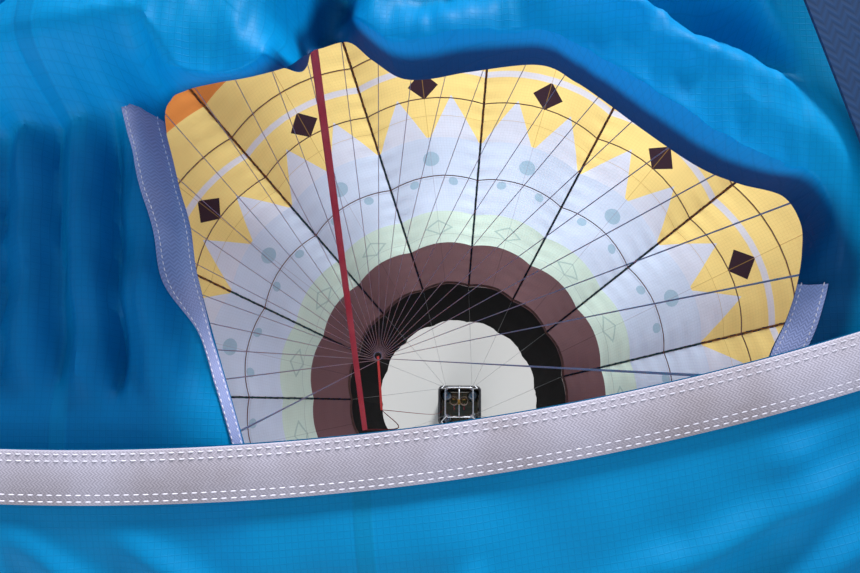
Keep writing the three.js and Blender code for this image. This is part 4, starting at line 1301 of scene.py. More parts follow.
# Lines below the vent panel. Places are in metres in the part's frame.
ventLines = {
    "ring": (-0.639, -0.852, -1.098),
    "ringRadius": 0.042,
    "ringRod": 0.006,
    "count": 28,
    "lineRadius": 0.0026,
    "edgeRadius": 2.2,
    "strapTop": (-0.096, 0.059, 6.462),
    "strapEnd": (-0.212, -1.855, 2.902),
    "strapWidth": 0.026,
    "strapThickness": 0.0022,
    "lowerBlock": (-0.700, -1.320, -2.100),
    "frameEnd": (-0.380, -0.150, -14.700),
    "cordRadius": 0.004,
    "clearAngle": math.radians(-81),
    "clearHalfAngle": math.radians(8),
    "centringOuter": 4.2,
    "centringInner": 2.28,
    "outerDrop": 0.05,
    "innerDrop": 0.022,
}


def straight(a, b, count=6):
    share = np.linspace(0, 1, count)[:, None]
    return np.asarray(a, float) * (1 - share) + np.asarray(b, float) * share


# A direction square to the way from a to b
def acrossOf(a, b):
    way = np.asarray(b, float) - np.asarray(a, float)
    steep = abs(way[2]) > abs(way[0]) + abs(way[1])
    other = np.array((0.3, -0.7, 0.65) if steep else (0.0, 0.0, 1.0))
    return unit(other - way * (other @ way) / (way @ way))


def alongPath(path, section):
    return sweep(path, section, acrossOf(path[0], path[-1]))


# Where a line is sewn to the underside of the panel
def panelUnderside(angle):
    hem = ventGrid[0, :hemCount]
    hemAngles = np.arctan2(hem[:, 1], hem[:, 0])
    if hemAngles[0] < angle < hemAngles[-1]:
        return hem[int(np.argmin(np.abs(hemAngles - angle)))] + (0, 0, -0.004)
    x, y, _ = ventLines["edgeRadius"] * outward(angle)
    return np.array([x, y, float(domeHeight(x, y)) - 0.006])


# A line with a little slack, bowed to one side
def hangingPath(a, b, bow, count):
    share = np.linspace(0, 1, count)
    side = unit(np.cross(np.asarray(b, float) - np.asarray(a, float), [0.4, 1.0, 0.2]))
    off = bow * np.sin(share * math.pi) * (1 + 0.3 * np.sin(share * 5))
    return straight(a, b, count) + side * off[:, None]


def makeVentLines(settings):
    meshes = []
    middle = np.array(settings["ring"])
    for k in range(settings["count"]):
        angle = envelope["firstTape"] + goreTurn * (k + 0.25) / 2
        angle = (angle + math.pi) % (2 * math.pi) - math.pi
        if abs(angle - settings["clearAngle"]) < settings["clearHalfAngle"]:
            continue
        top = panelUnderside(angle)
        way = unit((top - middle) * (1, 1, 0))
        path = straight(middle + way * settings["ringRadius"], top, 14)
        meshes.append(alongPath(path, roundSection(settings["lineRadius"], 6)))
    addPiece("shroud_lines", meshes, cords["pale"], "grey_webbing", body="parachute")
    loop = middle + settings["ringRadius"] * outward(evenTurns(40))
    ring = sweep(loop, roundSection(settings["ringRod"], 10), loop=True)
    addPiece("vent_ring", ring, metals["polished"], "brushed_steel", body="parachute")
    ends = [(settings["strapTop"], settings["strapEnd"]), (settings["ring"], settings["lowerBlock"])]
    section = flatSection(settings["strapWidth"], settings["strapThickness"])
    straps = [alongPath(straight(a, b, 40), section) for a, b in ends]
    addPiece("vent_straps", straps, webbings["red"], "grey_webbing", body="parachute")
    section = roundSection(settings["cordRadius"], 8)
    upper = alongPath(hangingPath(settings["strapEnd"], settings["lowerBlock"], 0.16, 40), section)
    addPiece("vent_line", upper, cords["red"], "grey_webbing", body="parachute")
    lower = alongPath(hangingPath(settings["lowerBlock"], settings["frameEnd"], 0.22, 90), section)
    piece = addPiece("vent_line_lower", lower, cords["red"], "grey_webbing", body=None)
    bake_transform(piece)


def makeCentringCords(settings):
    meshes = []
    outer, inner = settings["centringOuter"], settings["centringInner"]
    outerHeight, innerHeight = float(crownHeight(outer)) - settings["outerDrop"], float(crownHeight(inner))
    section = roundSection(settings["cordRadius"], 6)
    for k in range(envelope["gores"]):
        way = outward(envelope["firstTape"] + goreTurn * (k + 0.5))
        low = way * outer + (0, 0, outerHeight)
        top = way * inner + (0, 0, innerHeight - settings["innerDrop"])
        meshes.append(alongPath(straight(low, top, 20), section))
    piece = addPiece("centring_cords", meshes, cords["pale"], "grey_webbing", body=None)
    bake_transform(piece)


makeVentLines(ventLines)
makeCentringCords(ventLines)
print("vent lines made")

# Materials of the basket


# Lacquered cane, woven by hand: near black, brown where it is worn, glossy, with fine fibres along a strand
def wickerMaterial():
    material, tree, place = newMaterial("lacqueredCaneBlack")
    flat = addNode(tree, "ShaderNodeMapping", {"Vector": place, "Scale": (1.0, 1.0, 9.0)})
    fibres = addNode(tree, "ShaderNodeTexNoise", {"Vector": flat, "Scale": 90.0, "Detail": 4.0})
    broad = addNode(tree, "ShaderNodeTexNoise", {"Vector": place, "Scale": 14.0, "Detail": 4.0})
    shown = shaded(tree, worn(tree, "#1c1816", "#4a3a2c", broad, 0.5, 0.78), fibres, 0.55, 1.4)
    rough = addNode(tree, "ShaderNodeMapRange", [fibres, 0.0, 1.0, 0.28, 0.5])
    finishMaterial(tree, shown, rough, (fibres, 0.4, 0.001))
    return material


# Tanned cowhide: pebbled grain, which is 1 mm and drawn at 3 mm, creases, and paler scuffs
def hideMaterial(name, colour, scuffColour, grainScale=320.0):
    material, tree, place = newMaterial(name)
    grain = addNode(tree, "ShaderNodeTexVoronoi", {"Vector": place, "Scale": grainScale})
    creases = addNode(tree, "ShaderNodeTexNoise", {"Vector": place, "Scale": 26.0, "Detail": 7.0})
    rough = addNode(tree, "ShaderNodeMapRange", [creases, 0.0, 1.0, 0.38, 0.66])
    height = addNode(tree, "ShaderNodeMath", [creases, 0.8, grain], operation="MULTIPLY_ADD")
    finishMaterial(tree, worn(tree, colour, scuffColour, creases, 0.54, 0.72), rough, (height, 0.35, 0.0012))
    return material


# Sawn and varnished timber: grain 3 mm wide runs along X, with darker year rings
def timberMaterial(name, colour, grainColour):
    material, tree, place = newMaterial(name)
    grainWay = addNode(tree, "ShaderNodeMapping", {"Vector": place, "Scale": (0.05, 1.0, 1.0)})
    grain = addNode(tree, "ShaderNodeTexNoise", {"Vector": grainWay, "Scale": 160.0, "Detail": 5.0})
    rings = addNode(tree, "ShaderNodeTexWave", {
        "Vector": grainWay, "Scale": 14.0, "Distortion": 5.0, "Detail": 3.0,
    }, wave_type="RINGS", rings_direction="X").outputs["Fac"]
    both = addNode(tree, "ShaderNodeMath", [grain, rings], operation="MULTIPLY")
    shown = addNode(tree, "ShaderNodeMix", {0: both, 6: colour, 7: grainColour}, data_type="RGBA")
    rough = addNode(tree, "ShaderNodeMapRange", [grain, 0.0, 1.0, 0.4, 0.62])
    finishMaterial(tree, shown, rough, (both, 0.2, 0.0006))
    return material


wicker = wickerMaterial()
blackHide = hideMaterial("cowhideBlack", "#15151a", "#3b3836")
gripRubber = hideMaterial("mouldedGripRed", "#8e1f22", "#a8474a", grainScale=700.0)
ashTimber = timberMaterial("ashTimberVarnished", "#b98f5c", "#7c5530")
birchPly = timberMaterial("birchPlywood", "#c9a97c", "#a27c4e")

# Basket: a rounded plan that tapers to its floor. Heights are above the ground.
basket = {
    "halfX": 0.600,
    "halfY": 0.550,
    "corner": 0.130,
    "taper": 0.035,
    "wallTop": 1.120,
    "wallLow": 0.0403,
    "wallThickness": 0.030,
    "stakes": 86,
    "pointsPerStake": 2,
    "rows": 80,
    "sway": 0.0078,
    "strandHalfHeight": 0.0101,
    "strandHalfDepth": 0.0050,
    "stakeRadius": 0.0074,
    "footHole": {"low": 0.360, "high": 0.480, "halfWidth": 0.085, "corner": 0.024},
    "rimRadius": 0.0315,
    "rimHeight": 1.1523,
    "rimPuckers": 78,
    "rimPuckerDepth": 0.012,
    "lacingTurns": (-35, -145),
    "hideTop": 0.215,
    "hideSeams": (0.008, 0.016),
    "strapWidth": 0.032,
}
corners = [(1, 1), (-1, 1), (-1, -1), (1, -1)]


# Evenly spaced points of a rounded rectangle, anticlockwise from the middle of its +X side, and their normals
def roundedOutline(halfX, halfY, corner, count, out=0.0):
    flats, quarter = (2 * (halfY - corner), 2 * (halfX - corner)), corner * math.pi / 2
    total = 2 * sum(flats) + 4 * quarter
    points, normals = [], []
    for place in (np.arange(count) / count * total + flats[0] / 2) % total:
        side = 0
        while place > flats[side % 2] + quarter + 1e-9:
            place -= flats[side % 2] + quarter
            side += 1
        left = flats[side % 2] - place
        turn = side * math.pi / 2 + max(-left, 0) / corner
        centre = np.array(corners[side]) * (halfX - corner, halfY - corner)
        along = np.array([-math.sin(side * math.pi / 2), math.cos(side * math.pi / 2)])
        normals.append((math.cos(turn), math.sin(turn)))
        points.append(centre - along * max(left, 0) + corner * np.array(normals[-1]))
    points, normals = np.array(points), np.array(normals)
    return points + normals * out, normals


def wallInset(height):
    return basket["taper"] * (basket["wallTop"] - min(height, basket["wallTop"])) / basket["wallTop"]


def basketRing(height, out, count):
    inset = wallInset(height)
    plan = roundedOutline(basket["halfX"] - inset, basket["halfY"] - inset, basket["corner"], count, out)[0]
    return np.hstack([plan, np.full((count, 1), height + ground)])


# Wicker: strands pass in front of and behind the stakes in turn, row by row. The foot holes are left open.
def makeWeaveTree():
    tree, given = newTree("wickerWeave", {
        "Foot outline": ("Geometry", None), "Rows": ("Int", 60), "Points per stake": ("Int", 3),
        "Height": ("Float", 1.0), "Taper": ("Float", 0.03), "Sway": ("Float", 0.01),
        "Strand height": ("Float", 0.01), "Strand depth": ("Float", 0.01), "Stake radius": ("Float", 0.01),
        "Hole low": ("Float", 0.0), "Hole high": ("Float", 0.0), "Hole half width": ("Float", 0.0),
        "Hole beyond": ("Float", 0.0), "Cane": ("Material", None),
    })

    # How far each point moves: outwards, square to the curve, and up
    def shiftOf(tangent, out, rise):
        cross = addNode(tree, "ShaderNodeVectorMath", [tangent, (0, 0, 1)], operation="CROSS_PRODUCT")
        away = addNode(tree, "ShaderNodeVectorMath", [cross], operation="NORMALIZE")
        away = addNode(tree, "ShaderNodeVectorMath", {0: away, "Scale": out}, operation="SCALE")
        return addNode(tree, "ShaderNodeVectorMath", [away, addNode(tree, "ShaderNodeCombineXYZ", {2: rise})])

    # Rods along wires, cut away where the foot holes are
    def rodsOf(wires, halfX, halfY):
        place = addNode(tree, "ShaderNodeSeparateXYZ", [addNode(tree, "GeometryNodeInputPosition")]).outputs
        inHole = addNode(tree, "ShaderNodeMath", [place[2], given["Hole low"]], operation="GREATER_THAN")
        for axis, limit, operation in ((2, "Hole high", "LESS_THAN"), (1, "Hole half width", "LESS_THAN"),
                                       (0, "Hole beyond", "GREATER_THAN")):
            size = place[axis]
            if axis < 2:
                size = addNode(tree, "ShaderNodeMath", [size], operation="ABSOLUTE")
            within = addNode(tree, "ShaderNodeMath", [size, given[limit]], operation=operation)
            inHole = addNode(tree, "ShaderNodeMath", [inHole, within], operation="MULTIPLY")
        kept = addNode(tree, "GeometryNodeDeleteGeometry", {"Geometry": wires, "Selection": inHole},
                       domain="POINT")
        curves = addNode(tree, "GeometryNodeMeshToCurve", {"Mesh": kept})
        circle = addNode(tree, "GeometryNodeCurvePrimitiveCircle", {"Resolution": 6, "Radius": 1.0})
        size = addNode(tree, "ShaderNodeCombineXYZ", [halfX, halfY, 1.0])
        return addNode(tree, "GeometryNodeCurveToMesh", {
            "Curve": addNode(tree, "GeometryNodeSetCurveNormal", {"Curve": curves}, mode="Z_UP"),
            "Profile Curve": addNode(tree, "GeometryNodeTransform", {"Geometry": circle, "Scale": size}),
            "Fill Caps": True,
        })

    rows = addNode(tree, "GeometryNodeDuplicateElements", {
        "Geometry": given["Foot outline"], "Amount": given["Rows"],
    }, domain="SPLINE")
    row = rows.outputs["Duplicate Index"]
    middle = addNode(tree, "ShaderNodeMath", [row, 0.5], operation="ADD")
    share = addNode(tree, "ShaderNodeMath", [middle, given["Rows"]], operation="DIVIDE")
    # Each row is half a wave behind the one below it.
    odd = addNode(tree, "ShaderNodeMath", [row, 2.0], operation="MODULO")
    index = addNode(tree, "GeometryNodeSplineParameter").outputs["Index"]
    stake = addNode(tree, "ShaderNodeMath", [index, given["Points per stake"]], operation="DIVIDE")
    turns = addNode(tree, "ShaderNodeMath", [stake, odd], operation="ADD")
    phase = addNode(tree, "ShaderNodeMath", [turns, math.pi], operation="MULTIPLY")
    wave = addNode(tree, "ShaderNodeMath", [phase], operation="COSINE")
    sway = addNode(tree, "ShaderNodeMath", [wave, given["Sway"]], operation="MULTIPLY")
    out = addNode(tree, "ShaderNodeMath", [share, given["Taper"], sway], operation="MULTIPLY_ADD")
    rise = addNode(tree, "ShaderNodeMath", [share, given["Height"]], operation="MULTIPLY")
    shift = shiftOf(addNode(tree, "GeometryNodeInputTangent"), out, rise)
    woven = addNode(tree, "GeometryNodeSetPosition", {"Geometry": rows, "Offset": shift})
    wires = addNode(tree, "GeometryNodeCurveToMesh", {"Curve": woven})
    strands = rodsOf(wires, given["Strand depth"], given["Strand height"])

    feet = addNode(tree, "GeometryNodeCurveToPoints", {"Curve": given["Foot outline"]}, mode="EVALUATED")
    number = addNode(tree, "GeometryNodeInputIndex")
    step = addNode(tree, "ShaderNodeMath", [number, given["Points per stake"]], operation="MODULO")
    between = addNode(tree, "ShaderNodeMath", [step, 0.5], operation="GREATER_THAN")
    chosen = addNode(tree, "GeometryNodeDeleteGeometry", {"Geometry": feet, "Selection": between},
                     domain="POINT")
    footPoints = addNode(tree, "GeometryNodePointsToVertices", {"Points": chosen})
    lean = shiftOf(feet.outputs["Tangent"], given["Taper"], given["Height"])
    raised = addNode(tree, "GeometryNodeExtrudeMesh", {"Mesh": footPoints, "Offset": lean}, mode="VERTICES")
    lines = addNode(tree, "GeometryNodeMeshToCurve", {"Mesh": raised})
    finer = addNode(tree, "GeometryNodeResampleCurve", {"Curve": lines, "Count": 28})
    stakeWires = addNode(tree, "GeometryNodeCurveToMesh", {"Curve": finer})
    stakes = rodsOf(stakeWires, given["Stake radius"], given["Stake radius"])

    joined = addNode(tree, "GeometryNodeJoinGeometry", [strands])
    tree.links.new(stakes.outputs[0], joined.inputs[0])
    finishTree(tree, addNode(tree, "GeometryNodeSetShadeSmooth", {"Geometry": joined}), given["Cane"])
    return tree


def makeWicker(settings):
    foot = basketRing(settings["wallLow"], -settings["wallThickness"] / 2,
                      settings["stakes"] * settings["pointsPerStake"])
    height = settings["wallTop"] - settings["wallLow"]
    hole = settings["footHole"]
    piece = runTree("basket_wicker_weave", [foot], True, makeWeaveTree(), {
        "Rows": settings["rows"], "Points per stake": settings["pointsPerStake"], "Height": height,
        "Taper": settings["taper"] * height / settings["wallTop"], "Sway": settings["sway"],
        "Strand height": settings["strandHalfHeight"], "Strand depth": settings["strandHalfDepth"],
        "Stake radius": settings["stakeRadius"], "Hole low": hole["low"] + ground,
        "Hole high": hole["high"] + ground, "Hole half width": hole["halfWidth"],
        "Hole beyond": settings["halfX"] * 0.7, "Cane": wicker,
    })
    dress(piece, "black_wicker", "basket_wicker")


makeWicker(basket)

# Points along an upright's axis: its foot on the rim to its head in the frame
upright = {
    "foot": (0.520, 0.470, 1.1843),
    "head": (0.3316, 0.3516, 2.050),
    "radius": 0.017,
    "sleeveFoot": 0.0303,
    "socketLength": 0.046,
    "gap": 0.0003,
    "cuff": [(-0.032, 0.0235), (-0.030, 0.0255), (-0.010, 0.0262),
             (0.012, 0.0262), (0.027, 0.0255), (0.0295, 0.0235)],
}


def uprightPoint(corner, share):
    foot, head = (np.array([*corner, 1]) * upright[end] + (0, 0, ground) for end in ("foot", "head"))
    return foot + (head - foot) * share


uprightSize = float(np.linalg.norm(uprightPoint((1, 1), 1) - uprightPoint((1, 1), 0)))


# A turned or moulded piece along an upright: metres from its foot, and radius
def alongUpright(corner, profile, sides=24):
    path = [uprightPoint(corner, metres / uprightSize) for metres, radius in profile]
    up = (0.3 * corner[0], 0.3 * corner[1], 1)
    return sweep(path, roundSection(1.0, sides), up, scale=[radius for metres, radius in profile])


def makeRimAndHide(settings):
    count = 420
    middle = -settings["wallThickness"] / 2
    path = basketRing(settings["rimHeight"], middle, count)
    place = np.arange(count) / count
    waves = np.sin(place * 2 * math.pi * settings["rimPuckers"]) - 1 + ripple(place * 9, 0 * place, 1.0, 41)
    puckers = 1 + settings["rimPuckerDepth"] * waves
    mesh = sweep(path, roundSection(settings["rimRadius"], 20), loop=True, scale=puckers)
    roll = addPiece("basket_rim_roll", mesh, blackHide, "black_leather", "basket_rim")
    cuffs = [alongUpright(corner, upright["cuff"]) for corner in corners]
    addPiece("basket_rim_cuffs", cuffs, blackHide, "black_leather", "basket_rim")
    rows = []
    for turn in settings["lacingTurns"]:
        reachOut, rise, _ = settings["rimRadius"] * outward(math.radians(turn))
        rows.append(basketRing(settings["rimHeight"], middle + reachOut, 300) + (0, 0, rise))
    addStitches("rim_lacing", rows, "dark", "black_leather", 0.016, 0.0125, 0.0014)
    # Hide round the foot: how far each line of it stands out, and its height
    low, top = settings["wallLow"], settings["hideTop"]
    levels = [(0.0004, (low + top) / 2), (0.0006, top), (0.0041, top), (0.005, top - 0.003),
              (0.005, top - 0.012), (0.0044, top - 0.05), (0.004, low + 0.06), (0.0044, low + 0.01),
              (0.0041, low), (0.0006, low)]
    rings = np.stack([basketRing(height, out, 200) for out, height in levels], 1)
    mesh = shell(rings, True, np.arange(len(levels) + 1) * 0.01, np.arange(201) * 4.3 / 200)
    addPiece("basket_foot_hide", mesh, blackHide, "black_leather", "basket_hide")
    rows = [basketRing(top - drop, 0.0052, 300) for drop in settings["hideSeams"]]
    addStitches("foot_hide_stitches", rows, "pale", "black_leather", 0.009, 0.0065, 0.0008)
    # Leather round the foot holes
    hole = settings["footHole"]
    holeMiddle = (hole["low"] + hole["high"]) / 2
    outline, normals = roundedOutline(hole["halfWidth"], holeMiddle - hole["low"], hole["corner"], 80, -0.003)
    trims = []
    for side in (1, -1):
        x = side * (settings["halfX"] - wallInset(holeMiddle) + middle)
        path = np.stack([np.full(80, x), outline[:, 0] * side, outline[:, 1] + holeMiddle + ground], -1)
        up = np.stack([np.zeros(80), normals[:, 0] * side, normals[:, 1]], -1)
        trims.append(sweep(path, flatSection(0.036, 0.009, 0.003), up, loop=True))
    addPiece("foot_hole_trims", trims, blackHide, "black_leather")


makeRimAndHide(basket)


# Uprights: poles in stitched leather sleeves
def makeUprights(settings):
    metres = np.linspace(settings["sleeveFoot"], uprightSize - settings["socketLength"] - settings["gap"], 60)
    seams = []
    for number, corner in enumerate(corners, 1):
        relief = ripple(metres, 0 * metres + number, 0.06, 50 + number)
        wrinkles = settings["radius"] * (0.985 + 0.02 * relief)
        wrinkles[[0, -1]] *= 0.93
        mesh = alongUpright(corner, list(zip(metres, wrinkles)))
        addPiece(f"upright_sleeve_{number}", mesh, blackHide, "black_leather", f"upright_{number}")
        inward = -unit(np.array([*corner, 0.0])) * settings["radius"]
        seams.append(np.array([uprightPoint(corner, m / uprightSize) + inward for m in metres]))
    addStitches("upright_seams", seams, "dark", "black_leather", 0.008, 0.006, 0.0009, closed=False)


makeUprights(upright)


# Bright straps run down each upright, over the rim and down the wall. Where one bends over the rim: its share
# of the way from the wall's place to the upright's foot, how far it stands out from the wall, and its height
strapBend = [
    (0.55, -0.040, 1.216), (0.3, -0.012, 1.194), (0.12, 0.012, 1.172), (0.0, 0.021, 1.15), (0.0, 0.016, 1.12),
]


def makeBasketStraps(settings):
    straps = []
    for cornerX, cornerY in corners:
        tilt = unit(np.array([cornerX * 0.6, cornerY, 0.0])) * (upright["radius"] + 0.004)
        path = [uprightPoint((cornerX, cornerY), share) + tilt for share in np.linspace(0.93, 0.12, 24)]
        x = cornerX * (settings["halfX"] - 0.165)
        footX = cornerX * upright["foot"][0]
        path += [(x + (footX - x) * share, cornerY * (settings["halfY"] + out), height + ground)
                 for share, out, height in strapBend]
        path += [(x, cornerY * (settings["halfY"] - wallInset(height) + 0.0035), height + ground)
                 for height in np.linspace(1.08, 0.26, 24)]
        section = flatSection(settings["strapWidth"], 0.0026)
        straps.append(sweep(throughPoints(path, 0.012, axes=3), section, (0.0, cornerY, 0.15)))
    addPiece("basket_straps", straps, webbings["silver"], "grey_webbing")


makeBasketStraps(basket)
print("basket made")

# Runners, fuel cylinders, load frame and burners


def bevelledBox(centre, size, bevel, steps=2):
    shape = bmesh.new()
    bmesh.ops.create_cube(shape, size=1.0)
    bmesh.ops.scale(shape, vec=Vector(size), verts=shape.verts)
    bmesh.ops.bevel(shape, geom=list(shape.edges), offset=bevel, segments=steps, profile=0.7, affect="EDGES")
    bmesh.ops.translate(shape, vec=Vector(centre), verts=shape.verts)
    mesh = bpy.data.meshes.new("box")
    shape.to_mesh(mesh)
    shape.free()
    mesh.polygons.foreach_set("use_smooth", np.ones(len(mesh.polygons), bool))
    mesh.set_sharp_from_angle(angle=math.radians(48))
    return mesh


# A turned shape on an upright axis: profile of radius and height, closed on the axis where the radius is 0
def turned(centre, profile, sides=64):
    ring = outward(evenTurns(sides))
    return shell([centre + ring * max(radius, 1e-5) + (0, 0, height) for radius, height in profile])


# A closed ring turned from a profile that goes round anticlockwise and comes back to its start
def turnedRing(centre, profile, sides=64):
    rings = [centre + np.outer([radius for radius, _ in profile], outward(turn))
             + np.outer([height for _, height in profile], (0, 0, 1)) for turn in evenTurns(sides)]
    return shell(np.array(rings)[:, ::-1], True)


def rod(a, b, radius, sides=20, bevel=0.001):
    a, b = np.asarray(a, float), np.asarray(b, float)
    way = unit(b - a)
    small = 1 - bevel / radius
    up = (0, 0, 1) if abs(way[2]) < 0.8 else (0, 1, 0)
    path = [a, a + way * bevel, b - way * bevel, b]
    return sweep(path, roundSection(radius, sides), up, scale=[small, 1, 1, small])


# A drum with a wall, its lip and its foot closed: heights of its levels, the lip's profile, and which places
# between two levels and two of its sides are open
def piercedDrum(centre, radius, wall, levels, lip, sides, isOpen):
    profile = [(radius, z) for z in levels] + lip + [(radius - wall, z) for z in levels[::-1]]
    points = np.array([centre + outward(evenTurns(sides)) * r + (0, 0, z) for r, z in profile])
    count, top = len(profile), len(levels) - 1
    faces = []

    def quad(*places):
        return [level % count * sides + k % sides for level, k in places]

    for level in range(count):
        outer = level if level < top else count - 2 - level
        for k in range(sides):
            if level >= top and not 0 <= outer < top or not isOpen(outer, k):
                faces.append(quad((level, k), (level, k + 1), (level + 1, k + 1), (level + 1, k)))
    # The cut edges of each opening
    for level in range(top):
        low, high = count - 1 - level, count - 2 - level
        for k in range(sides):
            if not isOpen(level, k):
                continue
            if not isOpen(level - 1, k):
                faces.append(quad((level, k + 1), (low, k + 1), (low, k), (level, k)))
            if not isOpen(level + 1, k):
                faces.append(quad((level + 1, k), (high, k), (high, k + 1), (level + 1, k + 1)))
            if not isOpen(level, k - 1):
                faces.append(quad((level, k), (low, k), (high, k), (level + 1, k)))
            if not isOpen(level, k + 1):
                faces.append(quad((level + 1, k + 1), (high, k + 1), (low, k + 1), (level, k + 1)))
    return meshFrom(points.reshape(-1, 3), [faces])


runners = {"length": 1.116, "width": 0.060, "height": 0.040, "spacing": 0.330, "bevel": 0.005}


def makeRunners(settings):
    for number, place in ((1, -1), (2, 0), (3, 1)):
        centre = (0, place * settings["spacing"], settings["height"] / 2 + ground)
        size = (settings["length"], settings["width"], settings["height"] - 0.0002)
        mesh = bevelledBox(centre, size, settings["bevel"])
        addPiece(f"runner_beam_{number}", mesh, ashTimber, "hardwood", f"runner_{number}")


makeRunners(runners)

# Load tapes, the webbing in the mouth, the crown ring and the flying wires

loadTape = {
    "halfWidth": 0.025,
    "thickness": 0.003,
    "lift": 0.0012,
    "overRim": 0.0049,
    "stepFoot": 2.26,
    "stepTop": 2.17,
    "rim": 2.08,
    "rowSpacing": 0.11,
    "ringRadius": 0.158,
}


# Left edge, middle and right edge of a load tape, row by row from the mouth to the crown ring
def loadTapeRows(number, settings):
    lengths = np.arange(0.004, lengthAtRadius(settings["stepFoot"]), settings["rowSpacing"])
    middle = envelopePoints(lengths, float(number), -clothGrid["inset"])
    sides = []
    for way in (-1, 1):
        near = number + way * gorePhases[1]
        beside = envelopePoints(lengths, near, clothRelief(lengths, near) - clothGrid["inset"])
        sides.append(middle + unit(beside - middle) * settings["halfWidth"])
    rows = np.stack([sides[0], middle, sides[1]], 1)
    angle = envelope["firstTape"] + number * goreTurn
    radii = np.concatenate([np.linspace(settings["stepFoot"], settings["stepTop"], 7),
                            np.linspace(settings["rim"], settings["ringRadius"], 22)])
    centre = np.outer(radii, outward(angle)) + np.outer(crownHeight(radii), (0, 0, 1))
    crownRows = centre[:, None] + np.outer((-1, 0, 1), outward(angle + math.pi / 2)) * settings["halfWidth"]
    step = smoothStep((settings["stepFoot"] - radii) / (settings["stepFoot"] - settings["stepTop"]))
    step = np.concatenate([np.zeros(len(lengths)), step])
    lift = settings["lift"] + (settings["overRim"] - settings["lift"]) * step
    return np.concatenate([rows, crownRows]), lift


def makeLoadTapes(settings):
    across = np.array([0, 1, 2, 2, 1, 0, 0]) * settings["halfWidth"]
    for number in range(envelope["gores"]):
        rows, lift = loadTapeRows(number, settings)
        normal = unit(np.cross(rows[:, 2] - rows[:, 0], np.gradient(rows[:, 1], axis=0)))[:, None]
        under = rows + normal * lift[:, None, None]
        rings = np.concatenate([under + normal * settings["thickness"], under[:, ::-1]], 1)
        mesh = shell(rings, False, across, metresAlong(rows[:, 1]))
        addPiece(f"load_webbing_{number + 1:02d}", mesh, webbings["loadTape"], "dark_webbing",
                 f"load_tape_{number + 1:02d}")


makeLoadTapes(loadTape)

mouthWebbing = {"low": 0.014, "high": 0.064, "depth": 0.0063, "thickness": 0.003}


def makeMouthWebbing(settings):
    count = len(goreColumns)
    low, high = (lengthAtHeight(envelope["mouthHeight"] + settings[end]) for end in ("low", "high"))
    outer, inner = -settings["depth"], -settings["depth"] - settings["thickness"]
    rings = [envelopePoints(length, goreColumns, lift + clothRelief(length, goreColumns))
             for length, lift in ((low, inner), (high, inner), (high, outer), (low, outer))]
    across = np.array([0, high - low, high - low, 0, 0])
    around = np.arange(count + 1) * 2 * math.pi * envelope["mouthRadius"] / count
    mesh = shell(np.stack(rings, 1), True, across, around)
    addPiece("mouth_webbing", mesh, webbings["mouth"], "brown_webbing", "mouth_tape")


makeMouthWebbing(mouthWebbing)

crownRing = {
    "inner": 0.105,
    "outer": 0.155,
    "sink": 0.00205,
    "height": 0.024,
    "edge": 0.003,
    "loopWidth": 0.034,
    "loopThickness": 0.0022,
    "loopGap": 0.0017,
}


def makeCrownRing(settings):
    low = float(crownHeight(0.0)) - settings["sink"]
    inner, outer, edge, high = settings["inner"], settings["outer"], settings["edge"], settings["height"]
    near = edge * 0.3
    profile = [(inner + edge, 0), (outer - edge, 0), (outer - near, near), (outer, edge),
               (outer, high - edge), (outer - near, high - near), (outer - edge, high), (inner + edge, high),
               (inner + near, high - near), (inner, high - edge), (inner, edge), (inner + near, near)]
    ring = turnedRing((0, 0, low), profile, 112)
    addPiece("crown_ring_turned", ring, metals["aluminium"], "aluminium", "crown_ring")
    # Each load tape ends in a loop: a rounded box round the ring's section.
    turns = np.linspace(-0.5 * math.pi, 1.42 * math.pi, 30)
    halfWide, halfHigh = (outer - inner) / 2 + settings["loopGap"], high / 2 + settings["loopGap"]
    outX = halfWide * np.sign(np.cos(turns)) * np.abs(np.cos(turns)) ** 0.5
    outZ = halfHigh * np.sign(np.sin(turns)) * np.abs(np.sin(turns)) ** 0.35
    section = flatSection(settings["loopWidth"], settings["loopThickness"])
    loops = []
    for number in range(envelope["gores"]):
        angle = envelope["firstTape"] + number * goreTurn
        path = np.outer(outX + (inner + outer) / 2, outward(angle))
        path[:, 2] += outZ + low + high / 2
        up = np.cross(outward(angle + math.pi / 2), unit(np.gradient(path, axis=0)))
        loops.append(sweep(path, section, up))
    addPiece("crown_ring_loops", loops, webbings["loadTape"], "dark_webbing")


makeCrownRing(crownRing)
print("tapes and crown ring made")

# Fuel cylinders. Profiles are radius and height above the base.
tank = {
    "x": 0.385,
    "y": 0.335,
    "base": 0.0586,
    "radius": 0.150,
    "profile": [
        (0.0, 0.004), (0.105, 0.004), (0.118, 0.0), (0.128, 0.004), (0.134, 0.02), (0.144, 0.032),
        (0.149, 0.045), (0.15, 0.06), (0.15, 0.255), (0.1508, 0.262), (0.1508, 0.278), (0.15, 0.285),
        (0.15, 0.50), (0.1485, 0.522), (0.143, 0.541), (0.132, 0.558), (0.116, 0.571), (0.092, 0.581),
        (0.06, 0.587), (0.03, 0.59), (0.03, 0.602), (0.022, 0.604), (0.022, 0.612), (0.0, 0.612),
    ],
    "stem": {"low": 0.61, "high": 0.632, "radius": 0.011},
    "outlet": {"height": 0.6225, "reach": 0.062, "radius": 0.008},
    "wheel": [(0.006, 0.640), (0.006, 0.632), (0.0235, 0.632),
              (0.0255, 0.634), (0.0255, 0.638), (0.0235, 0.640)],
    "strapHeights": (0.17, 0.42),
    "strapWidth": 0.038,
    "strapThickness": 0.0024,
    "buckle": (0.010, 0.046, 0.044),
    "collarOuter": 0.098,
    "collarWall": 0.005,
    "collarLow": 0.570,
    "collarTop": 0.660,
    "collarSides": 72,
}


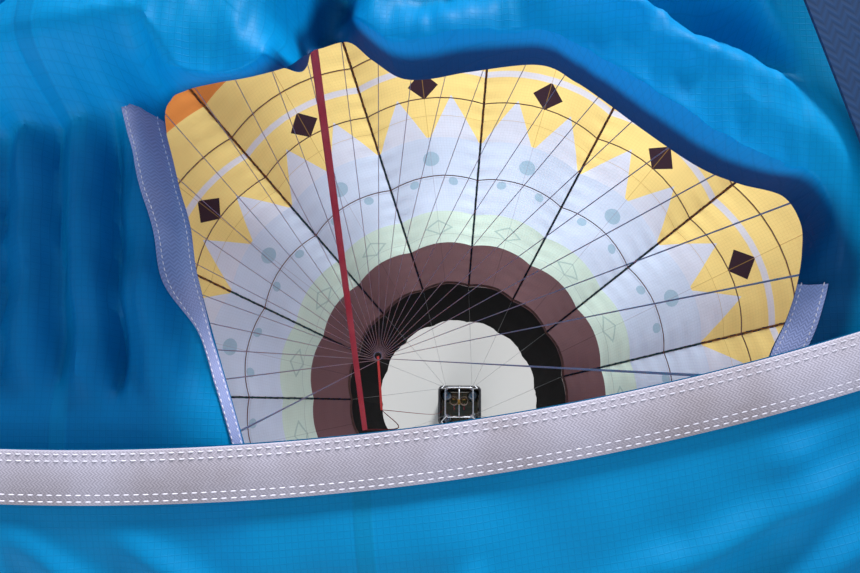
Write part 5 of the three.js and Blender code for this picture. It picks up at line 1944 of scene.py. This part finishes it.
# Three hand holes with rounded corners
def inHandHole(level, k):
    place = k % (tank["collarSides"] // 3)
    return 5 <= place <= 16 and 3 <= level <= 6 and not (place in (5, 16) and level in (3, 6))


def makeCylinders(settings):
    places = [np.array([cornerX * settings["x"], cornerY * settings["y"], settings["base"] + ground])
              for cornerX, cornerY in corners]
    levels = list(np.linspace(settings["collarLow"], settings["collarTop"], 9))
    low, high, stemRadius = settings["stem"].values()
    height, reach, outletRadius = settings["outlet"].values()
    for number, place in enumerate(places, 1):
        collar = piercedDrum(place, settings["collarOuter"], settings["collarWall"], levels, [],
                             settings["collarSides"], inHandHole)
        stem = rod(place + (0, 0, low), place + (0, 0, high), stemRadius)
        outlet = rod(place + (0, 0, height), place + (reach, 0, height), outletRadius)
        addPiece(f"fuel_cylinder_{number}", [turned(place, settings["profile"]), collar, stem, outlet],
                 metals["cylinder"], "cylinder_steel", f"cylinder_{number}")
    wheels, straps = [], []
    ring = outward(evenTurns(96))
    for place in places:
        wheels.append(turnedRing(place, settings["wheel"], 40))
        for height in settings["strapHeights"]:
            path = place + ring * (settings["radius"] + 0.0016) + (0, 0, height)
            section = flatSection(settings["strapWidth"], settings["strapThickness"])
            straps.append(sweep(path, section, ring, loop=True))
            buckle = place + (-math.copysign(settings["radius"] + 0.006, place[0]), 0, height)
            straps.append(bevelledBox(buckle, settings["buckle"], 0.002))
    addPiece("cylinder_taps", wheels, gripRubber, "cylinder_steel")
    addPiece("cylinder_straps", straps, webbings["black"], "black_leather")


makeCylinders(tank)

# Load frame. Profiles are radius and metres along the part.
loadFrame = {
    "halfX": 0.380,
    "halfY": 0.400,
    "corner": 0.090,
    "height": 2.050,
    "tube": 0.019,
    "lug": {"length": 0.056, "thickness": 0.014, "low": 0.010, "high": 0.074, "corner": 0.012,
            "points": 48, "holeRise": 0.048, "hole": 0.0125, "bevelShare": 0.95},
    "socket": [(0.0185, -0.0462), (0.0225, -0.046), (0.024, -0.044), (0.024, -0.012), (0.021, 0.0)],
    "boss": [(0.0106, -0.024), (0.0245, -0.024), (0.026, -0.0225),
             (0.026, 0.0225), (0.0245, 0.024), (0.0106, 0.024)],
    "bossHalf": 0.024,
    "bar": 0.016,
    "pin": 0.010,
    "pinHalf": 0.052,
}


# A plate with rounded corners and a round hole; turn is about the upright axis
def lugMesh(centre, turn, settings):
    middle = (settings["low"] + settings["high"]) / 2
    halfSize = (settings["length"] / 2, settings["high"] - middle)
    outline = roundedOutline(*halfSize, settings["corner"], settings["points"])[0]
    turns = np.arctan2(outline[:, 1], outline[:, 0])
    hole = outward(turns)[:, :2] * settings["hole"] + (0, settings["holeRise"] - middle)
    bevelled = outline * settings["bevelShare"]
    depth = outward(turn + math.pi / 2) * settings["thickness"] / 2
    sections = [(outline, 0.9), (bevelled, 1), (hole, 1), (hole, -1), (bevelled, -1), (outline, -0.9)]
    rings = [centre + np.outer(plan[:, 0], outward(turn)) + side * depth for plan, side in sections]
    rings = np.stack(rings, 1)
    rings[:, :, 2] += middle + np.stack([plan[:, 1] for plan, side in sections], 1)
    return shell(rings, True)


# Place and turn of the lug at each corner of the frame
def lugPlaces(height):
    inset = loadFrame["corner"] * (1 - math.sqrt(0.5))
    lugX, lugY = loadFrame["halfX"] - inset, loadFrame["halfY"] - inset
    return [(np.array([x * lugX, y * lugY, height + ground]), math.atan2(y * lugY, x * lugX))
            for x, y in corners]


def makeLoadFrame(settings):
    height = settings["height"] + ground
    plan = roundedOutline(settings["halfX"], settings["halfY"], settings["corner"], 160)[0]
    path = np.hstack([plan, np.full((160, 1), height)])
    meshes = [sweep(path, roundSection(settings["tube"], 24), loop=True)]
    for corner, (place, turn) in zip(corners, lugPlaces(settings["height"])):
        meshes.append(lugMesh(place, turn, settings["lug"]))
        socket = [(uprightSize + metres, radius) for radius, metres in settings["socket"]]
        meshes.append(alongUpright(corner, socket))
    for side in (1, -1):
        ring = turnedRing((0, 0, 0), settings["boss"], 40)
        middle = Matrix.Translation((0, side * settings["halfY"], height))
        ring.transform(middle @ Matrix.Rotation(math.radians(90), 4, "X"))
        meshes.append(ring)
    addPiece("load_frame_tube", meshes, metals["frame"], "brushed_steel", "load_frame")
    bar = settings["halfY"] - settings["bossHalf"] - 0.0003
    reach = settings["halfY"] + settings["bossHalf"]
    meshes = [rod((0, -bar, height), (0, bar, height), settings["bar"], 28, 0.002),
              rod((0, -reach, height), (0, reach, height), settings["pin"], 24),
              rod((-settings["pinHalf"], 0, height), (settings["pinHalf"], 0, height), settings["pin"], 24)]
    addPiece("gimbal_bar_tube", meshes, metals["frame"], "brushed_steel", "gimbal_bar", body="gimbal")


makeLoadFrame(loadFrame)

flyingWires = {
    "radius": 0.004,
    "strands": 6,
    "lay": 0.012,
    "girth": 0.0246,
    "collar": {"radius": 0.009, "low": -0.004, "high": 0.026},
    "ropeFoot": 0.016,
    "linkTube": 0.0058,
    "linkHalfWidth": 0.020,
    "linkHalfHeight": 0.034,
    "linkCentre": 2.1373,
    "ferrule": {"radius": 0.0072, "length": 0.048, "place": 0.09},
    "gap": 0.0006,
    "tapes": ((5, 6, 7), (8, 9, 10, 11), (12, 13, 0), (1, 2, 3, 4)),
}


# Galvanised wire rope: six grey strands twisted round each other, drawn at a 12 mm lay, dull in the grooves
def wireRopeMaterial(settings):
    material, tree, _ = newMaterial("galvanisedWireRope")
    at = addNode(tree, "ShaderNodeUVMap", uv_map="surface")
    parts = addNode(tree, "ShaderNodeSeparateXYZ", [at]).outputs
    along = addNode(tree, "ShaderNodeMath", [parts[1], settings["lay"]], operation="DIVIDE")
    around = settings["strands"] / settings["girth"]
    both = addNode(tree, "ShaderNodeMath", [parts[0], around, along], operation="MULTIPLY_ADD")
    strand = addNode(tree, "ShaderNodeMath", [both, 0.5], operation="PINGPONG")
    shown = shaded(tree, "#b3b6ba", strand, 0.35, 1.0, end=0.3)
    finishMaterial(tree, shown, 0.38, (strand, 0.7, 0.001), Metallic=1.0)
    return material


wireRope = wireRopeMaterial(flyingWires)


# Wire ropes from a link in each lug up to the mouth webbing, with pressed ferrules at both ends
def makeFlyingWires(settings):
    length = lengthAtHeight(envelope["mouthHeight"] + mouthWebbing["low"])
    depth = mouthWebbing["depth"] + mouthWebbing["thickness"] + settings["gap"] + settings["radius"]
    halfWidth, ferrule, collar = settings["linkHalfWidth"], settings["ferrule"], settings["collar"]
    outline = roundedOutline(halfWidth, settings["linkHalfHeight"], halfWidth - 1e-4, 40)[0]
    places = lugPlaces(settings["linkCentre"])
    for number, (tapes, (centre, turn)) in enumerate(zip(settings["tapes"], places), 1):
        path = centre + np.outer(outline[:, 0], outward(turn + math.pi / 2))
        path[:, 2] += outline[:, 1]
        top = centre + (0, 0, settings["linkHalfHeight"])
        meshes = [sweep(path, roundSection(settings["linkTube"], 12), outward(turn), loop=True),
                  rod(top + (0, 0, collar["low"]), top + (0, 0, collar["high"]), collar["radius"], 20, 0.002)]
        ropes = []
        foot = top + (0, 0, settings["ropeFoot"])
        for tape in tapes:
            head = envelopePoints(length, float(tape), -depth)
            way = unit(head - foot)
            ropes.append(sweep(straight(foot, head, 12), roundSection(settings["radius"], 8), (0, 1, 0.3)))
            for start in (foot + way * ferrule["place"], head - way * (ferrule["place"] + ferrule["length"])):
                meshes.append(rod(start, start + way * ferrule["length"], ferrule["radius"], 12, 0.002))
        addPiece(f"wire_fittings_{number}", meshes, metals["polished"], "wire_rope")
        addPiece(f"wire_ropes_{number}", ropes, wireRope, "wire_rope", f"flying_wires_{number}")


makeFlyingWires(flyingWires)

burner = {
    "spacing": 0.270,
    "base": 2.135,
    "canRadius": 0.105,
    "canHeight": 0.360,
    "wall": 0.003,
    "holeLevels": [0, 0.012, 0.022, 0.032, 0.042, 0.056, 0.066, 0.076, 0.086],
    "lip": [(0.0008, -0.012), (0.003, -0.010), (0.005, -0.005), (0.004, -0.001), (0.001, 0), (-0.002, -0.001),
            (-0.003, -0.004)],
    "coilRadius": 0.0795,
    "coilTube": 0.0074,
    "coilTurns": 5,
    "coilPitch": 0.034,
    "jetRadius": 0.050,
    "jets": 16,
    "hub": [(0.0, 0.0002), (0.016, 0.0002), (0.016, 0.03), (0.0135, 0.034), (0.0135, 0.062), (0.0, 0.062)],
}


# Two rows of air holes at the can's foot, in turn
def inAirHole(level, k):
    return (level in (1, 2, 3) and k % 8 in (1, 2, 3)) or (level in (5, 6, 7) and k % 8 in (5, 6, 7))


def makeBurners(settings):
    height, jetRadius = settings["canHeight"], settings["jetRadius"]
    levels = settings["holeLevels"] + list(np.linspace(0.10, height - 0.016, 12))
    lip = [(settings["canRadius"] + out, height + rise) for out, rise in settings["lip"]]
    turns = np.linspace(0, settings["coilTurns"] * 2 * math.pi, settings["coilTurns"] * 40 + 1)
    tube = settings["coilTube"]
    rise = tube + (settings["coilTurns"] * settings["coilPitch"] - 2 * tube) * turns / turns[-1]
    for name, side in (("left", -1), ("right", 1)):
        centre = np.array([side * settings["spacing"] / 2, 0, settings["base"] + ground])
        can = piercedDrum(centre, settings["canRadius"], settings["wall"], levels, lip, 96, inAirHole)
        addPiece(f"burner_shell_{name}", can, metals["burner"], "burner_steel", f"burner_can_{name}",
                 body="burner")
        coil = centre + settings["coilRadius"] * outward(turns) + np.outer(rise, (0, 0, 1))
        jetRing = centre + jetRadius * outward(evenTurns(48)) + (0, 0, 0.012)
        meshes = [sweep(coil, roundSection(tube, 10)), sweep(jetRing, roundSection(0.007, 10), loop=True)]
        for turn in evenTurns(settings["jets"]):
            jet = centre + jetRadius * outward(turn) + (0, 0, 0.016)
            meshes.append(rod(jet, jet + (0, 0, 0.014), 0.0028, 8, 0.0005))
        for turn in (0, math.pi / 2):
            way, middle = outward(turn) * jetRadius, centre + (0, 0, 0.012)
            meshes.append(rod(middle - way, middle + way, 0.005, 10, 0.0005))
        meshes.append(turned(centre, settings["hub"], 28))
        addPiece(f"burner_coil_tube_{name}", meshes, metals["burner"], "burner_steel", f"burner_coil_{name}",
                 body="burner")


makeBurners(burner)

# Burner block: a deck on two cheeks, a valve block under each burner, and their levers and pilot valves.
# Places are x from the middle, y, and height above the ground.
burnerBlock = {
    "deckLow": 2.090,
    "deckHigh": 2.1347,
    "deckSize": (0.440, 0.130),
    "cheek": (0.039, 0, 2.060),
    "cheekSize": (0.030, 0.070, 0.076),
    "valve": (0.135, 0, 2.067),
    "valveSize": (0.120, 0.150, 0.0615),
    "plug": {"places": (-0.05, 0.0, 0.05), "out": 0.059, "length": 0.012, "radius": 0.011},
    "union": {"places": (-0.03, 0.03), "out": 0.074, "length": 0.014, "radius": 0.013},
    "leverHeight": 2.047,
    "leverStem": {"y": -0.0905, "size": (0.018, 0.042, 0.010)},
    "leverGrip": {"y": -0.158, "size": (0.025, 0.102, 0.0118)},
    "leverPivot": {"y": -0.078, "half": 0.014, "radius": 0.006},
    "pilot": (0.188, 0, 2.060),
    "pilotHeight": 0.038,
    "pilotRadius": 0.011,
    "knob": (0.188, 0, 2.048),
    "knobRadius": 0.0158,
    "knobHeight": 0.020,
    "screws": (-0.205, -0.07, 0.0, 0.07, 0.205),
    "screwY": 0.052,
    "screwRadius": 0.006,
    "screwHeight": 0.004,
}


def hexRod(start, way, radius):
    start, way = np.asarray(start, float), np.asarray(way, float)
    mesh = sweep([start, start + way * 0.85, start + way], roundSection(radius, 6), scale=[1, 1, 0.88])
    mesh.polygons.foreach_set("use_smooth", np.zeros(len(mesh.polygons), bool))
    return mesh


def knurledKnob(place, radius, height):
    ribs = np.where(np.arange(48) % 4 < 2, 1.0, 0.92)
    path = [place + (0, 0, z) for z in (0, 0.0015, height - 0.0015, height)]
    return sweep(path, roundSection(radius, 48) * ribs[:, None], (0, 1, 0), scale=[0.88, 1, 1, 0.88])


def makeBurnerBlock(settings):
    low, high = settings["deckLow"] + ground, settings["deckHigh"] + ground
    body = [bevelledBox((0, 0, (low + high) / 2), (*settings["deckSize"], high - low), 0.004, 3)]
    steel, grips = [], []
    plug, union = settings["plug"], settings["union"]
    stem, grip, pivot = settings["leverStem"], settings["leverGrip"], settings["leverPivot"]
    for side in (1, -1):
        cheek, valve, pilot, knob = (np.array(settings[name]) * (side, 1, 1) + (0, 0, ground)
                                     for name in ("cheek", "valve", "pilot", "knob"))
        body.append(bevelledBox(cheek, settings["cheekSize"], 0.003))
        body.append(bevelledBox(valve, settings["valveSize"], 0.005, 3))
        # Plugs and unions on the valve block's ends
        for y in plug["places"]:
            start = valve + (side * plug["out"], y, 0)
            steel.append(hexRod(start, (side * plug["length"], 0, 0), plug["radius"]))
        for x in union["places"]:
            steel.append(hexRod(valve + (x, union["out"], 0), (0, union["length"], 0), union["radius"]))
        lever = np.array([valve[0], 0, settings["leverHeight"] + ground])
        steel.append(bevelledBox(lever + (0, stem["y"], 0), stem["size"], 0.002))
        grips.append(bevelledBox(lever + (0, grip["y"], 0), grip["size"], 0.0045, 3))
        ends = [lever + (x, pivot["y"], 0) for x in (-pivot["half"], pivot["half"])]
        steel.append(rod(*ends, pivot["radius"]))
        steel.append(rod(pilot, pilot + (0, 0, settings["pilotHeight"]), settings["pilotRadius"]))
        grips.append(knurledKnob(knob, settings["knobRadius"], settings["knobHeight"]))
    # Cap screws along the deck's upper face
    foot, radius = -settings["screwHeight"], settings["screwRadius"]
    for x in settings["screws"]:
        for y in (-settings["screwY"], settings["screwY"]):
            steel.append(turned((x, y, high), [(0.0, foot), (radius, foot), (radius, 0.0), (0.0, 0.0)], 16))
    addPiece("burner_block_body", body, metals["brass"], "brass", "burner_block", body="burner")
    addPiece("burner_fittings", steel, metals["polished"], "brass", "burner_block", body="burner")
    addPiece("burner_grips", grips, gripRubber, "brass", "burner_block", body="burner")


makeBurnerBlock(burnerBlock)
print("burners, frame and cylinders made")

# The floor of the basket keeps its plain solid and gets the finish of birch ply
for slot in nodes["basket_floor"].material_slots:
    slot.material = birchPly

# Light: a soft low sun from behind the top of the picture, and an even sky
lightSettings = {
    "sunTurn": (math.radians(69), 0, math.radians(161)),
    "sunStrength": 7.6,
    "sunAngle": math.radians(12),
    "fillTurn": (math.radians(77), 0, math.radians(-14)),
    "fillStrength": 2.4,
    "fillAngle": math.radians(50),
    "skyColour": "#dfe8f4",
    "skyStrength": 0.9,
}


def makeLight(settings):
    for name in ("sun", "fill"):
        data = bpy.data.lights.new(name, "SUN")
        data.energy = settings[name + "Strength"]
        data.angle = settings[name + "Angle"]
        lamp = bpy.data.objects.new(name, data)
        lamp.rotation_euler = settings[name + "Turn"]
        scene.collection.objects.link(lamp)
    world = bpy.data.worlds.new("sky")
    world.use_nodes = True
    back = world.node_tree.nodes["Background"]
    back.inputs[0].default_value = linearColour(settings["skyColour"])
    back.inputs[1].default_value = settings["skyStrength"]
    scene.world = world
    scene.view_settings.view_transform = "Standard"


makeLight(lightSettings)

# Floor
floorSettings = {"halfSize": 150.0, "colour": "#a5a4a1", "roughness": 0.9}


def makeFloor(settings):
    half = settings["halfSize"]
    mesh = meshFrom([(x * half, y * half, ground) for x, y in corners], [[(2, 3, 0, 1)]])
    material, tree, _ = newMaterial("paleStudioFloor")
    finishMaterial(tree, settings["colour"], settings["roughness"])
    newObject("floor", mesh, material)


makeFloor(floorSettings)
